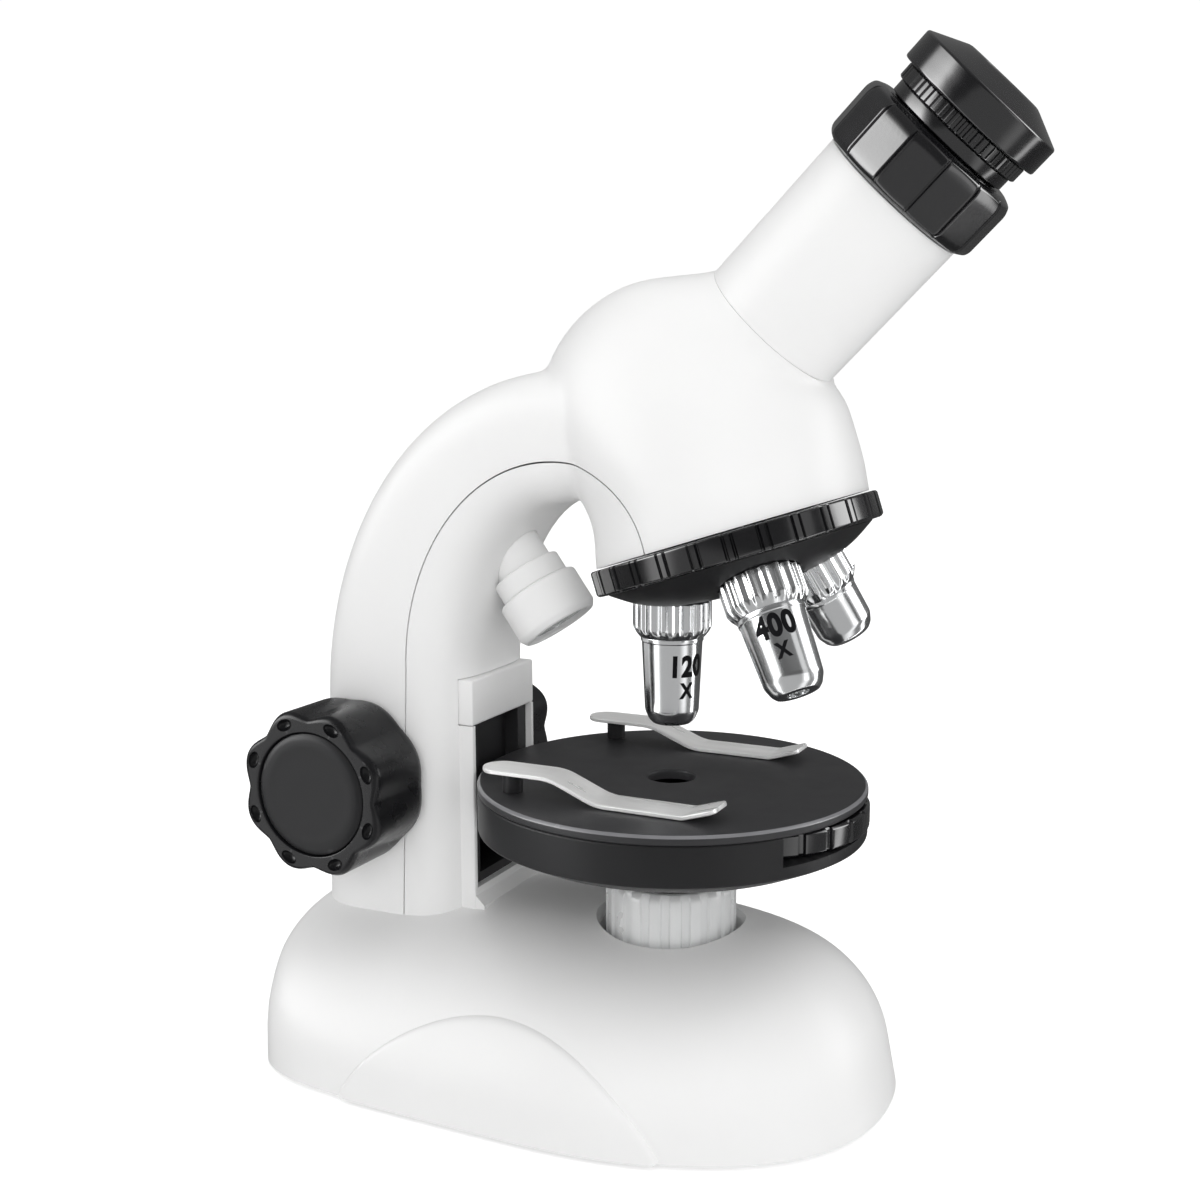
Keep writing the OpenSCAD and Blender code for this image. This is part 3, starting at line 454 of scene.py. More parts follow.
def world_light():
    """Even white light. What the gloss and the chrome reflect is a darker studio with two bright sides."""
    world = bpy.data.worlds.new("studio")
    bpy.context.scene.world = world
    world.use_nodes = True
    tree = world.node_tree
    nodes, links = tree.nodes, tree.links
    place = nodes.new("ShaderNodeTexCoord").outputs["Generated"]
    around = nodes.new("ShaderNodeTexGradient")
    around.gradient_type = "RADIAL"
    links.new(place, around.inputs["Vector"])

    def ring_of_light(*levels):
        """Greys round the horizon, each with its share of a turn, counted from -X through -Y."""
        ramp = nodes.new("ShaderNodeValToRGB")
        stops = ramp.color_ramp.elements
        for share, grey in levels:
            stops.new(share).color = (grey, grey, grey, 1)
        stops[0].color = stops[len(stops) - 1].color = (0.02, 0.02, 0.02, 1)
        links.new(around.outputs["Fac"], ramp.inputs["Fac"])
        return ramp.outputs["Color"]

    above = ring_of_light((0.02, 0.08), (0.035, 0.8), (0.06, 1.0), (0.145, 1.0), (0.17, 0.15), (0.2, 0.015),
                          (0.5, 0.015), (0.53, 0.1), (0.55, 0.7), (0.6, 0.7), (0.63, 0.02), (0.9, 0.02))
    below = ring_of_light((0.1, 0.02), (0.12, 0.22), (0.15, 0.25), (0.18, 0.06), (0.25, 0.057), (0.4, 0.057),
                          (0.45, 0.14), (0.47, 0.14), (0.5, 0.03), (0.555, 0.03), (0.57, 0.4), (0.585, 0.4),
                          (0.6, 0.012), (0.9, 0.012))
    split = nodes.new("ShaderNodeSeparateXYZ")
    links.new(place, split.inputs["Vector"])
    up = split.outputs["Z"]
    bands = mixed(tree, mapped(tree, up, (-0.02, 0.08), (0, 1)), below, above)
    studio = mixed(tree, mapped(tree, up, (0.4, 0.85), (0, 1)), bands, (0.03, 0.03, 0.03, 1))
    mirrored = nodes.new("ShaderNodeVectorMath")
    mirrored.operation = "SCALE"
    put(mirrored, Scale=BRIGHT_SIDES)
    links.new(studio, mirrored.inputs["Vector"])
    path = nodes.new("ShaderNodeLightPath").outputs
    shiny = mixed(tree, path["Is Glossy Ray"], EVEN_LIGHT, mirrored.outputs["Vector"])
    seen = mixed(tree, path["Is Camera Ray"], shiny, BACKDROP)
    links.new(seen, nodes["Background"].inputs["Color"])


world_light()

# The floor's radius, and how much it glows for the camera
FLOOR_R, FLOOR_GLOW = 12000, 0.5


def floor():
    """Wide pale disc. Gloss and chrome see through it, to the studio's bright sides."""
    angles = np.linspace(0, 2 * math.pi, 96, endpoint=False)
    rim = [(FLOOR_R * math.cos(a), FLOOR_R * math.sin(a), 0) for a in angles]
    sheet = make("floor", rim, [tuple(range(len(rim)))])
    material = finish("floor", (0.88, 0.88, 0.88), 0.7, mottle=0.004, mottle_size=200, grain=0.01,
                      specular=0.1)
    nodes, links = material.node_tree.nodes, material.node_tree.links
    shader = nodes["Principled BSDF"]
    put(shader, Emission_Color=(1, 1, 1, 1))
    path = nodes.new("ShaderNodeLightPath")
    glow = nodes.new("ShaderNodeMath")
    glow.operation = "MULTIPLY"
    glow.inputs[1].default_value = FLOOR_GLOW
    links.new(path.outputs["Is Camera Ray"], glow.inputs[0])
    links.new(glow.outputs["Value"], shader.inputs["Emission Strength"])
    clear_pane = nodes.new("ShaderNodeBsdfTransparent")
    either = nodes.new("ShaderNodeMixShader")
    links.new(path.outputs["Is Glossy Ray"], either.inputs["Fac"])
    links.new(shader.outputs["BSDF"], either.inputs[1])
    links.new(clear_pane.outputs["BSDF"], either.inputs[2])
    links.new(either.outputs["Shader"], nodes["Material Output"].inputs["Surface"])
    sheet.data.materials.append(material)


floor()

# ---- Base ----
BASE_REAR, BASE_FRONT, BASE_HALF_W, BASE_TOP = 83.0, 47.2, 43.4, 33.8
BASE_MIDDLE = -18.3
BASE_FOOT = node_box("base_shell")[0].z
WELL_R = 15.1
WELL_FLOOR = 28
SHELL = 2.4
# The outline's exponents ahead and behind
BASE_N = (2.3, 5.6)
# Draft, and the shoulder's height and reach
FRONT_SHOULDER, SIDE_SHOULDER, REAR_SHOULDER = (6.6, 22.5, 22.5), (1.6, 26.4, 38.0), (0, 13.2, 13.2)


def drawn_in(z, draft, high, reach):
    """How far a side has come in at a height: a slight draft, then an elliptical shoulder."""
    up = max(0.0, z - BASE_TOP + high) / high
    return draft * z / BASE_TOP + reach * (1 - math.sqrt(max(0.0, 1 - up ** 2)))


def base_half_axes(z):
    """Half axes of the base's outline at a height: front, side and rear."""
    return (BASE_FRONT - drawn_in(z, *FRONT_SHOULDER) - BASE_MIDDLE,
            BASE_HALF_W - drawn_in(z, *SIDE_SHOULDER),
            BASE_MIDDLE + BASE_REAR - drawn_in(z, *REAR_SHOULDER))


def base_loft(name, grow=0.0, levels=44, count=320, bottom=BASE_FOOT):
    """Solid of the base's outer shape."""
    rings = []
    for k in range(levels + 1):
        z = bottom + (BASE_TOP - bottom) * math.sin(math.pi / 2 * k / levels)
        front, side, rear = base_half_axes(z)
        outline = evenly(superellipse(front + grow, side + grow, rear + grow, *BASE_N, 2000), count)
        rings.append([(x + BASE_MIDDLE, y, z + min(0, grow)) for x, y in outline])
    return make(name, *stack(rings))


def base_shell():
    """Hollow crowned shell with the well that the lower lamp stands in and the switch's opening."""
    shell = base_loft("base_shell_visual")
    combine(shell, base_loft("hollow", -SHELL, levels=12, count=96, bottom=-2))
    well = [(0, 60), (WELL_R + 0.5, 60), (WELL_R + 0.5, BASE_TOP - 1.2), (WELL_R, BASE_TOP - 2.2, 0.5),
            (WELL_R, WELL_FLOOR - 3), (0, WELL_FLOOR - 3)]
    combine(shell, lathe("well", well, HERE, soft=0))
    switch_low, switch_high = node_box("switch_housing")
    combine(shell, block("switch_slot", (-BASE_REAR - 5, switch_low.y - 0.1, switch_low.z - 0.1),
                         (-BASE_REAR + 5, switch_high.y + 0.1, switch_high.z + 0.1)))
    cup = [(WELL_R + 1.8, BASE_TOP - 2.7), (WELL_R, BASE_TOP - 2.7), (WELL_R, WELL_FLOOR),
           (4, WELL_FLOOR), (4, WELL_FLOOR - 2), (WELL_R + 1.8, WELL_FLOOR - 2)]
    combine(shell, lathe("cup", cup, HERE, soft=0.2), "UNION")
    white(shell, "base_shell")


base_shell()

MOON_R = 39.9
MOON_CENTRE = Vector((-20, 0, -18.1))
MOON_PROUD = 0.8


def moon_panel(which, side):
    """Half-moon trim that follows the base's side, a little proud of it, with a round edge."""
    # Distance in from the round edge, and how proud the trim is there
    edge = [(0.0, -0.5), (0.0, 0.1), (0.1, 0.42), (0.3, 0.65), (0.6, 0.77), (1.0, MOON_PROUD)]
    columns, rows = 90, 26
    first = math.asin((BASE_FOOT - MOON_CENTRE.z) / MOON_R) + 0.02

    def on_side(x, z, proud):
        front, half, rear = base_half_axes(z)
        reach, n = (front, BASE_N[0]) if x > BASE_MIDDLE else (rear, BASE_N[1])
        share = min(0.999, abs(x - BASE_MIDDLE) / reach)
        y = half * (1 - share ** n) ** (1 / n)
        return (x, side * (y + proud), z)

    outer, inner = [], []
    for i in range(columns + 1):
        angle = first + (math.pi - 2 * first) * i / columns
        direction = Vector((math.cos(angle), 0, math.sin(angle)))
        low = (BASE_FOOT - MOON_CENTRE.z) / direction.z
        stops = [low + (MOON_R - 1.0 - low) * k / rows for k in range(rows)]
        levels = [(r, MOON_PROUD) for r in stops] + [(MOON_R - d, h) for d, h in reversed(edge)]
        line = [(MOON_CENTRE + direction * r, h) for r, h in levels]
        outer.append([on_side(p.x, p.z, h) for p, h in line])
        inner.append([on_side(p.x, p.z, -0.5) for p, h in line])
    rings = [front + back[::-1] for front, back in zip(outer, inner)]
    node = "side_panel_" + which
    white(make(node + "_visual", *stack(rings)), node, crease=50)


for which, side in SIDES.items():
    moon_panel(which, side)

# ---- Arm, head and arch frame ----
ARM_HALF_W, ARM_FRONT, ARM_DEPTH, ARM_N = 19.5, 41.2, 35.9, 3.4
ARM_REAR = ARM_FRONT + ARM_DEPTH
ARCH = (-20, 82, 37.8)
BACK = (75, 71.6)
RIM_R, TUBE_R, SEAM_S = 27.8, 15.1, 4.9
WALL = 2.2
# Heights on the arm's foot, and how far its back stands out there
ARM_FOOT = ((24, 1.5), (42, 0.95), (60, 0.5), (72, 0.08))
# The arm's last section, inside the head
ARM_END = ((-9, 123), (-7, 147.6))
# Rear edge, front edge and half width of the head's sections, upwards
HEAD_SECTIONS = (((-15, 116), (38, 129), 27.6), ((-22, 128), (36.6, 134), 26.5),
                 ((-26, 139), (35, 139), 24.6), ((-25.2, 148.5), (33.4, 141.9), 22.4),
                 ((-18, 157.8), (32.1, 143.3), 20), ((-7, 163.5), (31.6, 143.8), 17.6))


def arm_pair(angle):
    """Inner and outer point of the arm at an angle of the arch, 0 at its foot and 90 at the top."""
    c, s = cos_sin(angle)
    return ((ARCH[0] - (ARM_FRONT + ARCH[0]) * c, ARCH[1] + ARCH[2] * s),
            (ARCH[0] - (ARM_REAR + ARCH[0]) * c, BACK[0] + BACK[1] * s))


def slab_ring(a, b, half_w, n, inset):
    """Superellipse across two edge points in the XZ plane."""
    a, b = Vector((a[0], 0, a[1])), Vector((b[0], 0, b[1]))
    half = (b - a).length / 2 - inset
    outline = superellipse(half, half_w - inset, half, n, n, 128)
    middle, along = (a + b) / 2, (b - a).normalized()
    return [tuple(middle + along * u + FAR * v) for u, v in outline]


def arm_loft(name, inset=0.0, step=2.5):
    """Solid of the arm, from inside the base to inside the head."""
    pairs = [((-ARM_FRONT, z), (-ARM_REAR - out, z)) for z, out in ARM_FOOT]
    pairs += [arm_pair(a) for a in np.arange(0, 90 + step / 2, step)]
    pairs.append(ARM_END)
    return make(name, *stack([slab_ring(a, b, ARM_HALF_W, ARM_N, inset) for a, b in pairs]))


def head_pairs():
    """Rear edge, front edge and half width of the head, from below the rim to beyond the tube's seam."""
    rim_at = Vector((TURRET.translation.x, TURRET.translation.z))
    c, s = cos_sin(TURRET_TILT)
    across, down = Vector((c, s)), Vector((s, -c))
    tube_at = Vector((TUBE.translation.x, TUBE.translation.z))
    axis = Vector((TUBE.col[2][0], TUBE.col[2][2]))
    out = Vector((-axis.y, axis.x))
    rings = [(rim_at - across * RIM_R + down * d, rim_at + across * RIM_R + down * d, RIM_R) for d in (4, 0)]
    rings += [(Vector(a), Vector(b), w) for a, b, w in HEAD_SECTIONS]
    for up in (SEAM_S, SEAM_S + 5):
        rings.append((tube_at + axis * up + out * TUBE_R, tube_at + axis * up - out * TUBE_R, TUBE_R))
    return rings


def head_loft(name, inset=0.0, between=6):
    """Rings of the head, joined by a smooth curve through them."""
    keys = [np.array([*a, *b, w]) for a, b, w in head_pairs()]
    rings = []
    for i in range(len(keys) - 1):
        p0, p1, p2 = keys[max(i - 1, 0)], keys[i], keys[i + 1]
        p3 = keys[min(i + 2, len(keys) - 1)]
        for k in range(between):
            t = k / between
            rings.append(0.5 * (2 * p1 + (p2 - p0) * t + (2 * p0 - 5 * p1 + 4 * p2 - p3) * t ** 2
                                + (3 * p1 - p0 - 3 * p2 + p3) * t ** 3))
    rings.append(keys[-1])
    return make(name, *stack([slab_ring(r[0:2], r[2:4], r[4], 2, inset) for r in rings]))


def smooth_casting():
    """Arm and head in one skin, with a soft crease where they meet."""
    casting = combine(arm_loft("casting"), head_loft("head"), "UNION")
    fine = casting.modifiers.new("fine", "REMESH")
    fine.mode = "VOXEL"
    fine.voxel_size = 0.7 * MM
    soft = casting.modifiers.new("soft", "SMOOTH")
    soft.factor = 0.5
    soft.iterations = 26
    return bake_modifiers(casting)


# The seam: how far back its upright part stands and leans, the height where that part turns into the arch,
# the arch's top, and the half axes of its front quarter
SEAM_X, SEAM_LEAN, SEAM_FOOT_Z = 52, 2.8, 85
SEAM_APEX, SEAM_FRONT = (-17, 129), (23.5, 20)


def arch_zone(name, shrink=0.0):
    """Prism inside the seam between the arch frame and the arm's shell."""
    curve = []
    for a in np.arange(0, 91, 3):
        c, s = cos_sin(a)
        curve.append((SEAM_APEX[0] - (SEAM_X + SEAM_APEX[0] - shrink) * c,
                      SEAM_FOOT_Z + (SEAM_APEX[1] - SEAM_FOOT_Z - shrink) * s))
    for a in np.arange(87, -1, -3):
        c, s = cos_sin(a)
        curve.append((SEAM_APEX[0] + (SEAM_FRONT[0] - shrink) * c,
                      SEAM_APEX[1] - SEAM_FRONT[1] + (SEAM_FRONT[1] - shrink) * s))
    outline = [(-SEAM_X - SEAM_LEAN + shrink, 5)] + curve + [(6.5 - shrink, 90), (-24, 90), (-24, 5)]
    return prism(name, outline, 60)


SLOT_HALF_W = 12.2
SLOT_LOW, SLOT_HIGH = 37.4, 72.8
BRACKET_HALF_W, BRACKET_FRONT, BRACKET_TOP = 13.3, 39.5, 82.6
LEDGE_FRONT, LEDGE_HALF_W, LEDGE_TOP = 37.5, 13, SLOT_LOW - 0.3
BUSH_R = 4.5
STEM_R = 6.2
SEAM_GAP = 0.32


def cut_ends(piece):
    """Opens a piece at the turret's rim, the tube's seam and the base, and hollows it."""
    combine(piece, plug(31, -20, 0, TURRET))
    combine(piece, plug(40, SEAM_S, 60, TUBE))
    combine(piece, arm_loft("arm_hollow", WALL, step=10))
    combine(piece, head_loft("head_hollow", WALL, between=2))
    combine(piece, base_loft("base_cut", 0.03, levels=24, count=200, bottom=0))


def arm_and_frame():
    """The casting, divided along the seam into the arm's shell and the arch frame with the stage's slot."""
    casting = smooth_casting()
    cut_ends(casting)
    frame_piece = add("arch_frame_visual", casting.data.copy())
    casting.name = "arm_shell_visual"
    combine(casting, arch_zone("zone"))
    combine(casting, plug(BUSH_R + 0.1, -60, 60, Matrix.Translation(KNOB_AXIS) @ turned_by(90, "X")))
    white(casting, "arm_shell")

    combine(frame_piece, arch_zone("zone", SEAM_GAP), "INTERSECT")
    rim = block("slot_rim", (-ARM_FRONT - 2, -BRACKET_HALF_W, BASE_TOP - 2.5),
                (-BRACKET_FRONT, BRACKET_HALF_W, SLOT_HIGH + 0.5), bevel=0.35)
    combine(frame_piece, rim, "UNION")
    combine(frame_piece, block("slot", (-ARM_FRONT - 6, -SLOT_HALF_W, SLOT_LOW),
                               (-ARM_FRONT + 6, SLOT_HALF_W, SLOT_HIGH)))
    combine(frame_piece, block("bracket_seat", (-ARM_FRONT - 6, -BRACKET_HALF_W - 0.1, SLOT_HIGH - 0.1),
                               (-ARM_FRONT + 6, BRACKET_HALF_W + 0.1, BRACKET_TOP)))
    ledge = [(-ARM_FRONT - 1, BASE_TOP - 2.5), (-ARM_FRONT - 1, LEDGE_TOP), (-ARM_FRONT + 0.3, LEDGE_TOP),
             (-LEDGE_FRONT, BASE_TOP + 0.1), (-LEDGE_FRONT, BASE_TOP - 2.5)]
    combine(frame_piece, prism("ledge", ledge, LEDGE_HALF_W), "UNION")
    combine(frame_piece, base_loft("base_cut", 0.03, levels=24, count=200, bottom=0))
    combine(frame_piece, plug(STEM_R + 0.1, -25, 0, LAMP))
    white(frame_piece, "arch_frame")


arm_and_frame()

low, high = node_box("stop_bracket")
white(block("stop_bracket_visual", low, high, bevel=0.5), "stop_bracket")

# ---- Eyepiece ----
TUBE_END, SPIGOT_R, SPIGOT_END = 37.2, 13.6, 40.7
GUIDE_R = 11.87
ZOOM_LOW, ZOOM_HIGH, ZOOM_R = 37.4, 49.8, 17.15
NECK_R, NECK_TOP, KNURL_TOP = 13.0, 52.2, 55.4
CUP_R, CUP_TOP, DOME_TOP = 15.3, 61.1, 64.0


def flats(top, count, groove, depth, inner):
    """Wave for a ring with flat sides and a thin groove at each corner."""
    def wave(angles, r, z):
        pitch = 2 * math.pi / count
        turn = ((angles / pitch + 0.5) % 1 - 0.5) * pitch
        side = math.cos(math.pi / count) / np.cos(turn)
        across = (pitch / 2 - np.abs(turn)) * top
        cut = np.clip((groove - across) / (0.5 * groove), 0, 1)
        share = min(1.0, max(0.0, (r - inner) / (top - inner)))
        return r * (1 + share * (side - 1)) - depth * cut * share
    return wave


def toothed(top, count, depth, inner, sharp=1.0):
    """Wave of round flutes, or of square teeth as sharp grows."""
    def wave(angles, r, z):
        share = min(1.0, max(0.0, (r - inner) / (top - inner)))
        hollow = 0.5 - 0.5 * np.clip(sharp * np.cos(count * angles), -1, 1)
        return r - depth * share * hollow
    return wave


tube = lathe("eyepiece_tube_visual", [
    (TUBE_R - 1.9, SEAM_S + 0.03), (TUBE_R, SEAM_S + 0.03, 0.12), (TUBE_R, TUBE_END, 0.3),
    (SPIGOT_R, TUBE_END), (SPIGOT_R, SPIGOT_END), (GUIDE_R, SPIGOT_END), (GUIDE_R, 24), (TUBE_R - 1.9, 22.6)],
    TUBE, soft=0.15, step=3)
white(tube, "eyepiece_tube")

zoom = lathe("zoom_ring_visual", [
    (12.2, ZOOM_LOW), (15.6, ZOOM_LOW, 0.2), (16.7, ZOOM_LOW + 0.5, 0.5), (ZOOM_R, ZOOM_LOW + 1.5, 0.8),
    (ZOOM_R, ZOOM_HIGH - 2.2, 0.7), (16.5, ZOOM_HIGH - 0.7, 0.6), (14.6, ZOOM_HIGH, 0.4), (12.2, ZOOM_HIGH)],
    TUBE, count=14 * 48, wave=flats(ZOOM_R, 14, 0.34, 0.5, 15.4), step=1)
combine(zoom, plug(SPIGOT_R + 0.1, 30, ZOOM_LOW + 3.9, TUBE))
dress(zoom, "zoom", BLACK_GLOSS, ["zoom_ring"], crease=22)

barrel = lathe("eyepiece_barrel_visual", [
    (9.4, 16), (11.8, 16), (11.8, ZOOM_HIGH + 0.3), (NECK_R, ZOOM_HIGH + 0.3), (NECK_R, NECK_TOP + 0.2),
    (11.6, NECK_TOP + 0.2), (11.6, KNURL_TOP + 3.0), (9.4, KNURL_TOP + 3.0)], TUBE)
dress(barrel, "eyepiece", BLACK_GLOSS, ["eyepiece_barrel"])

knurl = lathe("eyepiece_knurl", [
    (11.62, NECK_TOP + 0.25), (13.5, NECK_TOP + 0.25), (13.8, NECK_TOP + 0.5), (13.8, KNURL_TOP - 0.25),
    (13.5, KNURL_TOP), (11.62, KNURL_TOP)],
    TUBE, count=60 * 12, soft=0.1, wave=toothed(13.8, 60, 0.42, 13.0, sharp=2.4))
dress(knurl, "eyepiece", BLACK_GLOSS, crease=25)

cup = lathe("eyecup_visual", [
    (11.65, KNURL_TOP + 0.1), (15.1, KNURL_TOP + 0.1), (CUP_R, KNURL_TOP + 0.4), (CUP_R, CUP_TOP - 0.3, 0.3),
    (15.1, CUP_TOP, 0.3), (8, DOME_TOP, 0.8), (6.5, DOME_TOP, 0.4), (6.5, DOME_TOP - 2), (9, KNURL_TOP + 3.1),
    (11.65, KNURL_TOP + 3.1)], TUBE, soft=0.15, step=2)
dress(cup, "eyepiece", BLACK_GLOSS, ["eyecup"])

# ---- Turret and objectives ----
GRIP_R, GRIP_LOW, GRIP_TOP = 29.2, -5.5, -0.3
PADS = 28
PIVOT_HOLE_R = 3.06
# Each objective's turn on the turret, and its tip's distance, top radius and tip radius
OBJECTIVE_TURNS = {"120x": 0, "400x": 120, "1200x": -120}
OBJECTIVE_SHAPES = {"120x": (79.0, 6.4, 5.5), "400x": (76.8, 6.6, 5.7), "1200x": (71.8, 6.4, 6.0)}
MOUNT_R, MOUNT_FROM = 5.0, 47.0
RING_FROM, RING_TO, RING_R = 53.4, 61.0, 8.0
# The barrel's taper: its start, how far in from the top radius, and how far before the tip it ends
TAPER_FROM, TAPER_IN, TAPER_END = RING_TO + 1.05, 0.22, 2.6


def pads(angles, r, z):
    """Wide pads, and between them a narrow ridge between two grooves."""
    pitch = 2 * math.pi / PADS
    across = np.abs((angles / pitch) % 1 - 0.5) * pitch * GRIP_R
    ridge, groove = 0.45, 0.95
    cut = np.clip((across - ridge) / 0.2, 0, 1) * np.clip((groove + 0.2 - across) / 0.2, 0, 1)
    share = min(1.0, max(0.0, (r - 26.0) / (GRIP_R - 26.0)))
    return r - share * (0.7 * cut + 0.12 * (across > groove))


grip = lathe("turret_ring_visual", [
    (24, GRIP_LOW), (28.7, GRIP_LOW), (GRIP_R, GRIP_LOW + 0.5), (GRIP_R, GRIP_TOP - 0.35), (28.8, GRIP_TOP),
    (24, GRIP_TOP)], TURRET, count=PADS * 44, soft=0.2, wave=pads)
dress(grip, "turret", BLACK_GLOSS, ["turret_ring"], crease=25)

dome = lathe("turret_body_visual", [
    (0, -12.2), (8, -12.2, 1), (16, -11.2, 3), (22, -9, 3), (27, -5.6, 0.4), (23.94, -5.55),
    (23.94, GRIP_TOP), (0, GRIP_TOP)], TURRET, soft=0.2)
combine(dome, plug(PIVOT_HOLE_R, -20, 5, TURRET))
for turn in OBJECTIVE_TURNS.values():
    combine(dome, lathe("objective_bore", [
        (0, 30), (5.06, 30), (5.06, RING_FROM - 0.05), (RING_R + 0.12, RING_FROM - 0.05), (RING_R + 0.12, 80),
        (0, 80)], objective_place(turn), soft=0, count=96))
dress(dome, "turret", BLACK_SATIN, ["turret_body"], crease=35)


# How narrow the digits are, and how far the ink stands out of the barrel and reaches into it
DIGIT_WIDTH, INK_OUT, INK_IN = 0.84, 0.04, 0.05


def numeral(text, place, angle, radius_at, height, high):
    """Printed number wrapped round a barrel, as a thin raised film, with its top towards the turret."""
    curve = bpy.data.curves.new(text, "FONT")
    curve.body = text
    curve.align_x, curve.align_y = "CENTER", "CENTER"
    curve.extrude = 0.01
    curve.offset = 0.046
    curve.space_character = 1.08
    curve.size = 1
    letters = add(text, curve)
    graph = bpy.context.evaluated_depsgraph_get()
    mesh = bpy.data.meshes.new_from_object(letters.evaluated_get(graph))
    bpy.data.objects.remove(letters)
    bm = bmesh.new()
    bm.from_mesh(mesh)
    bmesh.ops.remove_doubles(bm, verts=bm.verts, dist=1e-5)
    bmesh.ops.triangulate(bm, faces=bm.faces)
    for _ in range(3):
        long_edges = [e for e in bm.edges if e.calc_length() > 0.1]
        bmesh.ops.subdivide_edges(bm, edges=long_edges, cuts=1)
        bmesh.ops.triangulate(bm, faces=bm.faces)
    size = high / (max(v.co.y for v in bm.verts) - min(v.co.y for v in bm.verts))
    matrix = np.array(place)
    for v in bm.verts:
        z = height - v.co.y * size
        surface = radius_at(z)
        turn = angle - v.co.x * size * DIGIT_WIDTH / surface
        r = surface + (INK_OUT if v.co.z > 0 else -INK_IN)
        v.co = (matrix @ (r * math.cos(turn), r * math.sin(turn), z, 1))[:3] * MM
    bm.to_mesh(mesh)
    bm.free()
    return mesh


def objective(name):
    """Tapered barrel and its knurled ring."""
    tip, top_r, tip_r = OBJECTIVE_SHAPES[name]
    place = objective_place(OBJECTIVE_TURNS[name])
    lens_barrel = lathe("objective_%s_visual" % name, [
        (3.4, MOUNT_FROM), (MOUNT_R, MOUNT_FROM), (MOUNT_R, RING_FROM), (5.2, RING_FROM),
        (5.2, RING_TO + 0.02), (top_r, RING_TO + 0.02, 0.15), (top_r - 0.02, RING_TO + 0.9, 0.1),
        (top_r - TAPER_IN, TAPER_FROM, 0.1), (tip_r, tip - TAPER_END, 0.5), (tip_r - 0.8, tip - 0.8, 0.4),
        (tip_r - 1.6, tip, 0.2), (2.2, tip, 0.1), (2.2, tip - 1.6), (3.4, tip - 3)],
        place, soft=0.08, count=160, step=1.5)
    dress(lens_barrel, "turret", CHROME, ["objective_" + name])
    ring = lathe("objective_ring_" + name, [
        (5.22, RING_FROM), (7.6, RING_FROM), (RING_R, RING_FROM + 0.4), (RING_R, RING_TO - 2.0, 0.3),
        (7.45, RING_TO - 0.9, 0.3), (6.7, RING_TO, 0.1), (5.22, RING_TO)],
        place, count=18 * 16, soft=0.15, wave=toothed(RING_R, 18, 0.5, 6.6, sharp=1.3), step=0.8)
    dress(ring, "turret", CHROME, ["objective_rings"], crease=30)


for name in OBJECTIVE_TURNS:
    objective(name)


def print_on(name, angle_deg, from_ring, high, cross_high, cross_gap):
    """The magnification and a cross below it on one objective's barrel."""
    tip, top_r, tip_r = OBJECTIVE_SHAPES[name]
    place = objective_place(OBJECTIVE_TURNS[name])
    first, last = TAPER_FROM, tip - TAPER_END

    def radius_at(z):
        return top_r - TAPER_IN + (tip_r - top_r + TAPER_IN) * (z - first) / (last - first)

    bm = bmesh.new()
    for text, down, size in ((name[:-1], from_ring + high / 2, high),
                             ("X", from_ring + high + cross_gap + cross_high / 2, cross_high)):
        bm.from_mesh(numeral(text, place, math.radians(angle_deg), radius_at, RING_TO + down, size))
    mesh = bpy.data.meshes.new("print_" + name)
    bm.to_mesh(mesh)
    bm.free()
    dress(add("print_" + name, mesh), "turret", INK)


print_on("120x", angle_deg=-144, from_ring=3.4, high=4.6, cross_high=3.3, cross_gap=1.0)
print_on("400x", angle_deg=9, from_ring=1.6, high=4.6, cross_high=3.0, cross_gap=0.9)

# ---- Focus knobs ----
KNOB_IN, KNOB_W, KNOB_R = 20.0, 16.8, 17.6
LOBES, LOBE_DEPTH = 8, 0.95
CAP_R, CAP_H = 12.7, 1.4
PIT_AT, PIT_SIZE = 15.1, (1.3, 2.0, 1.7)


def lobes(angles, r, z):
    """Deep flutes at the knob's face that run out to flat sides at its back."""
    front = min(1.0, max(0.0, (z - 1.0) / (KNOB_W - 3.0)))
    depth = LOBE_DEPTH * (0.35 + 0.65 * math.sin(front * math.pi / 2))
    share = min(1.0, max(0.0, (r - CAP_R - 0.4) / (KNOB_R - CAP_R - 0.4)))
    shape = 0.5 - 0.5 * np.cos(LOBES * angles)
    return r - 2 * depth * share * (1 - shape ** 0.75)


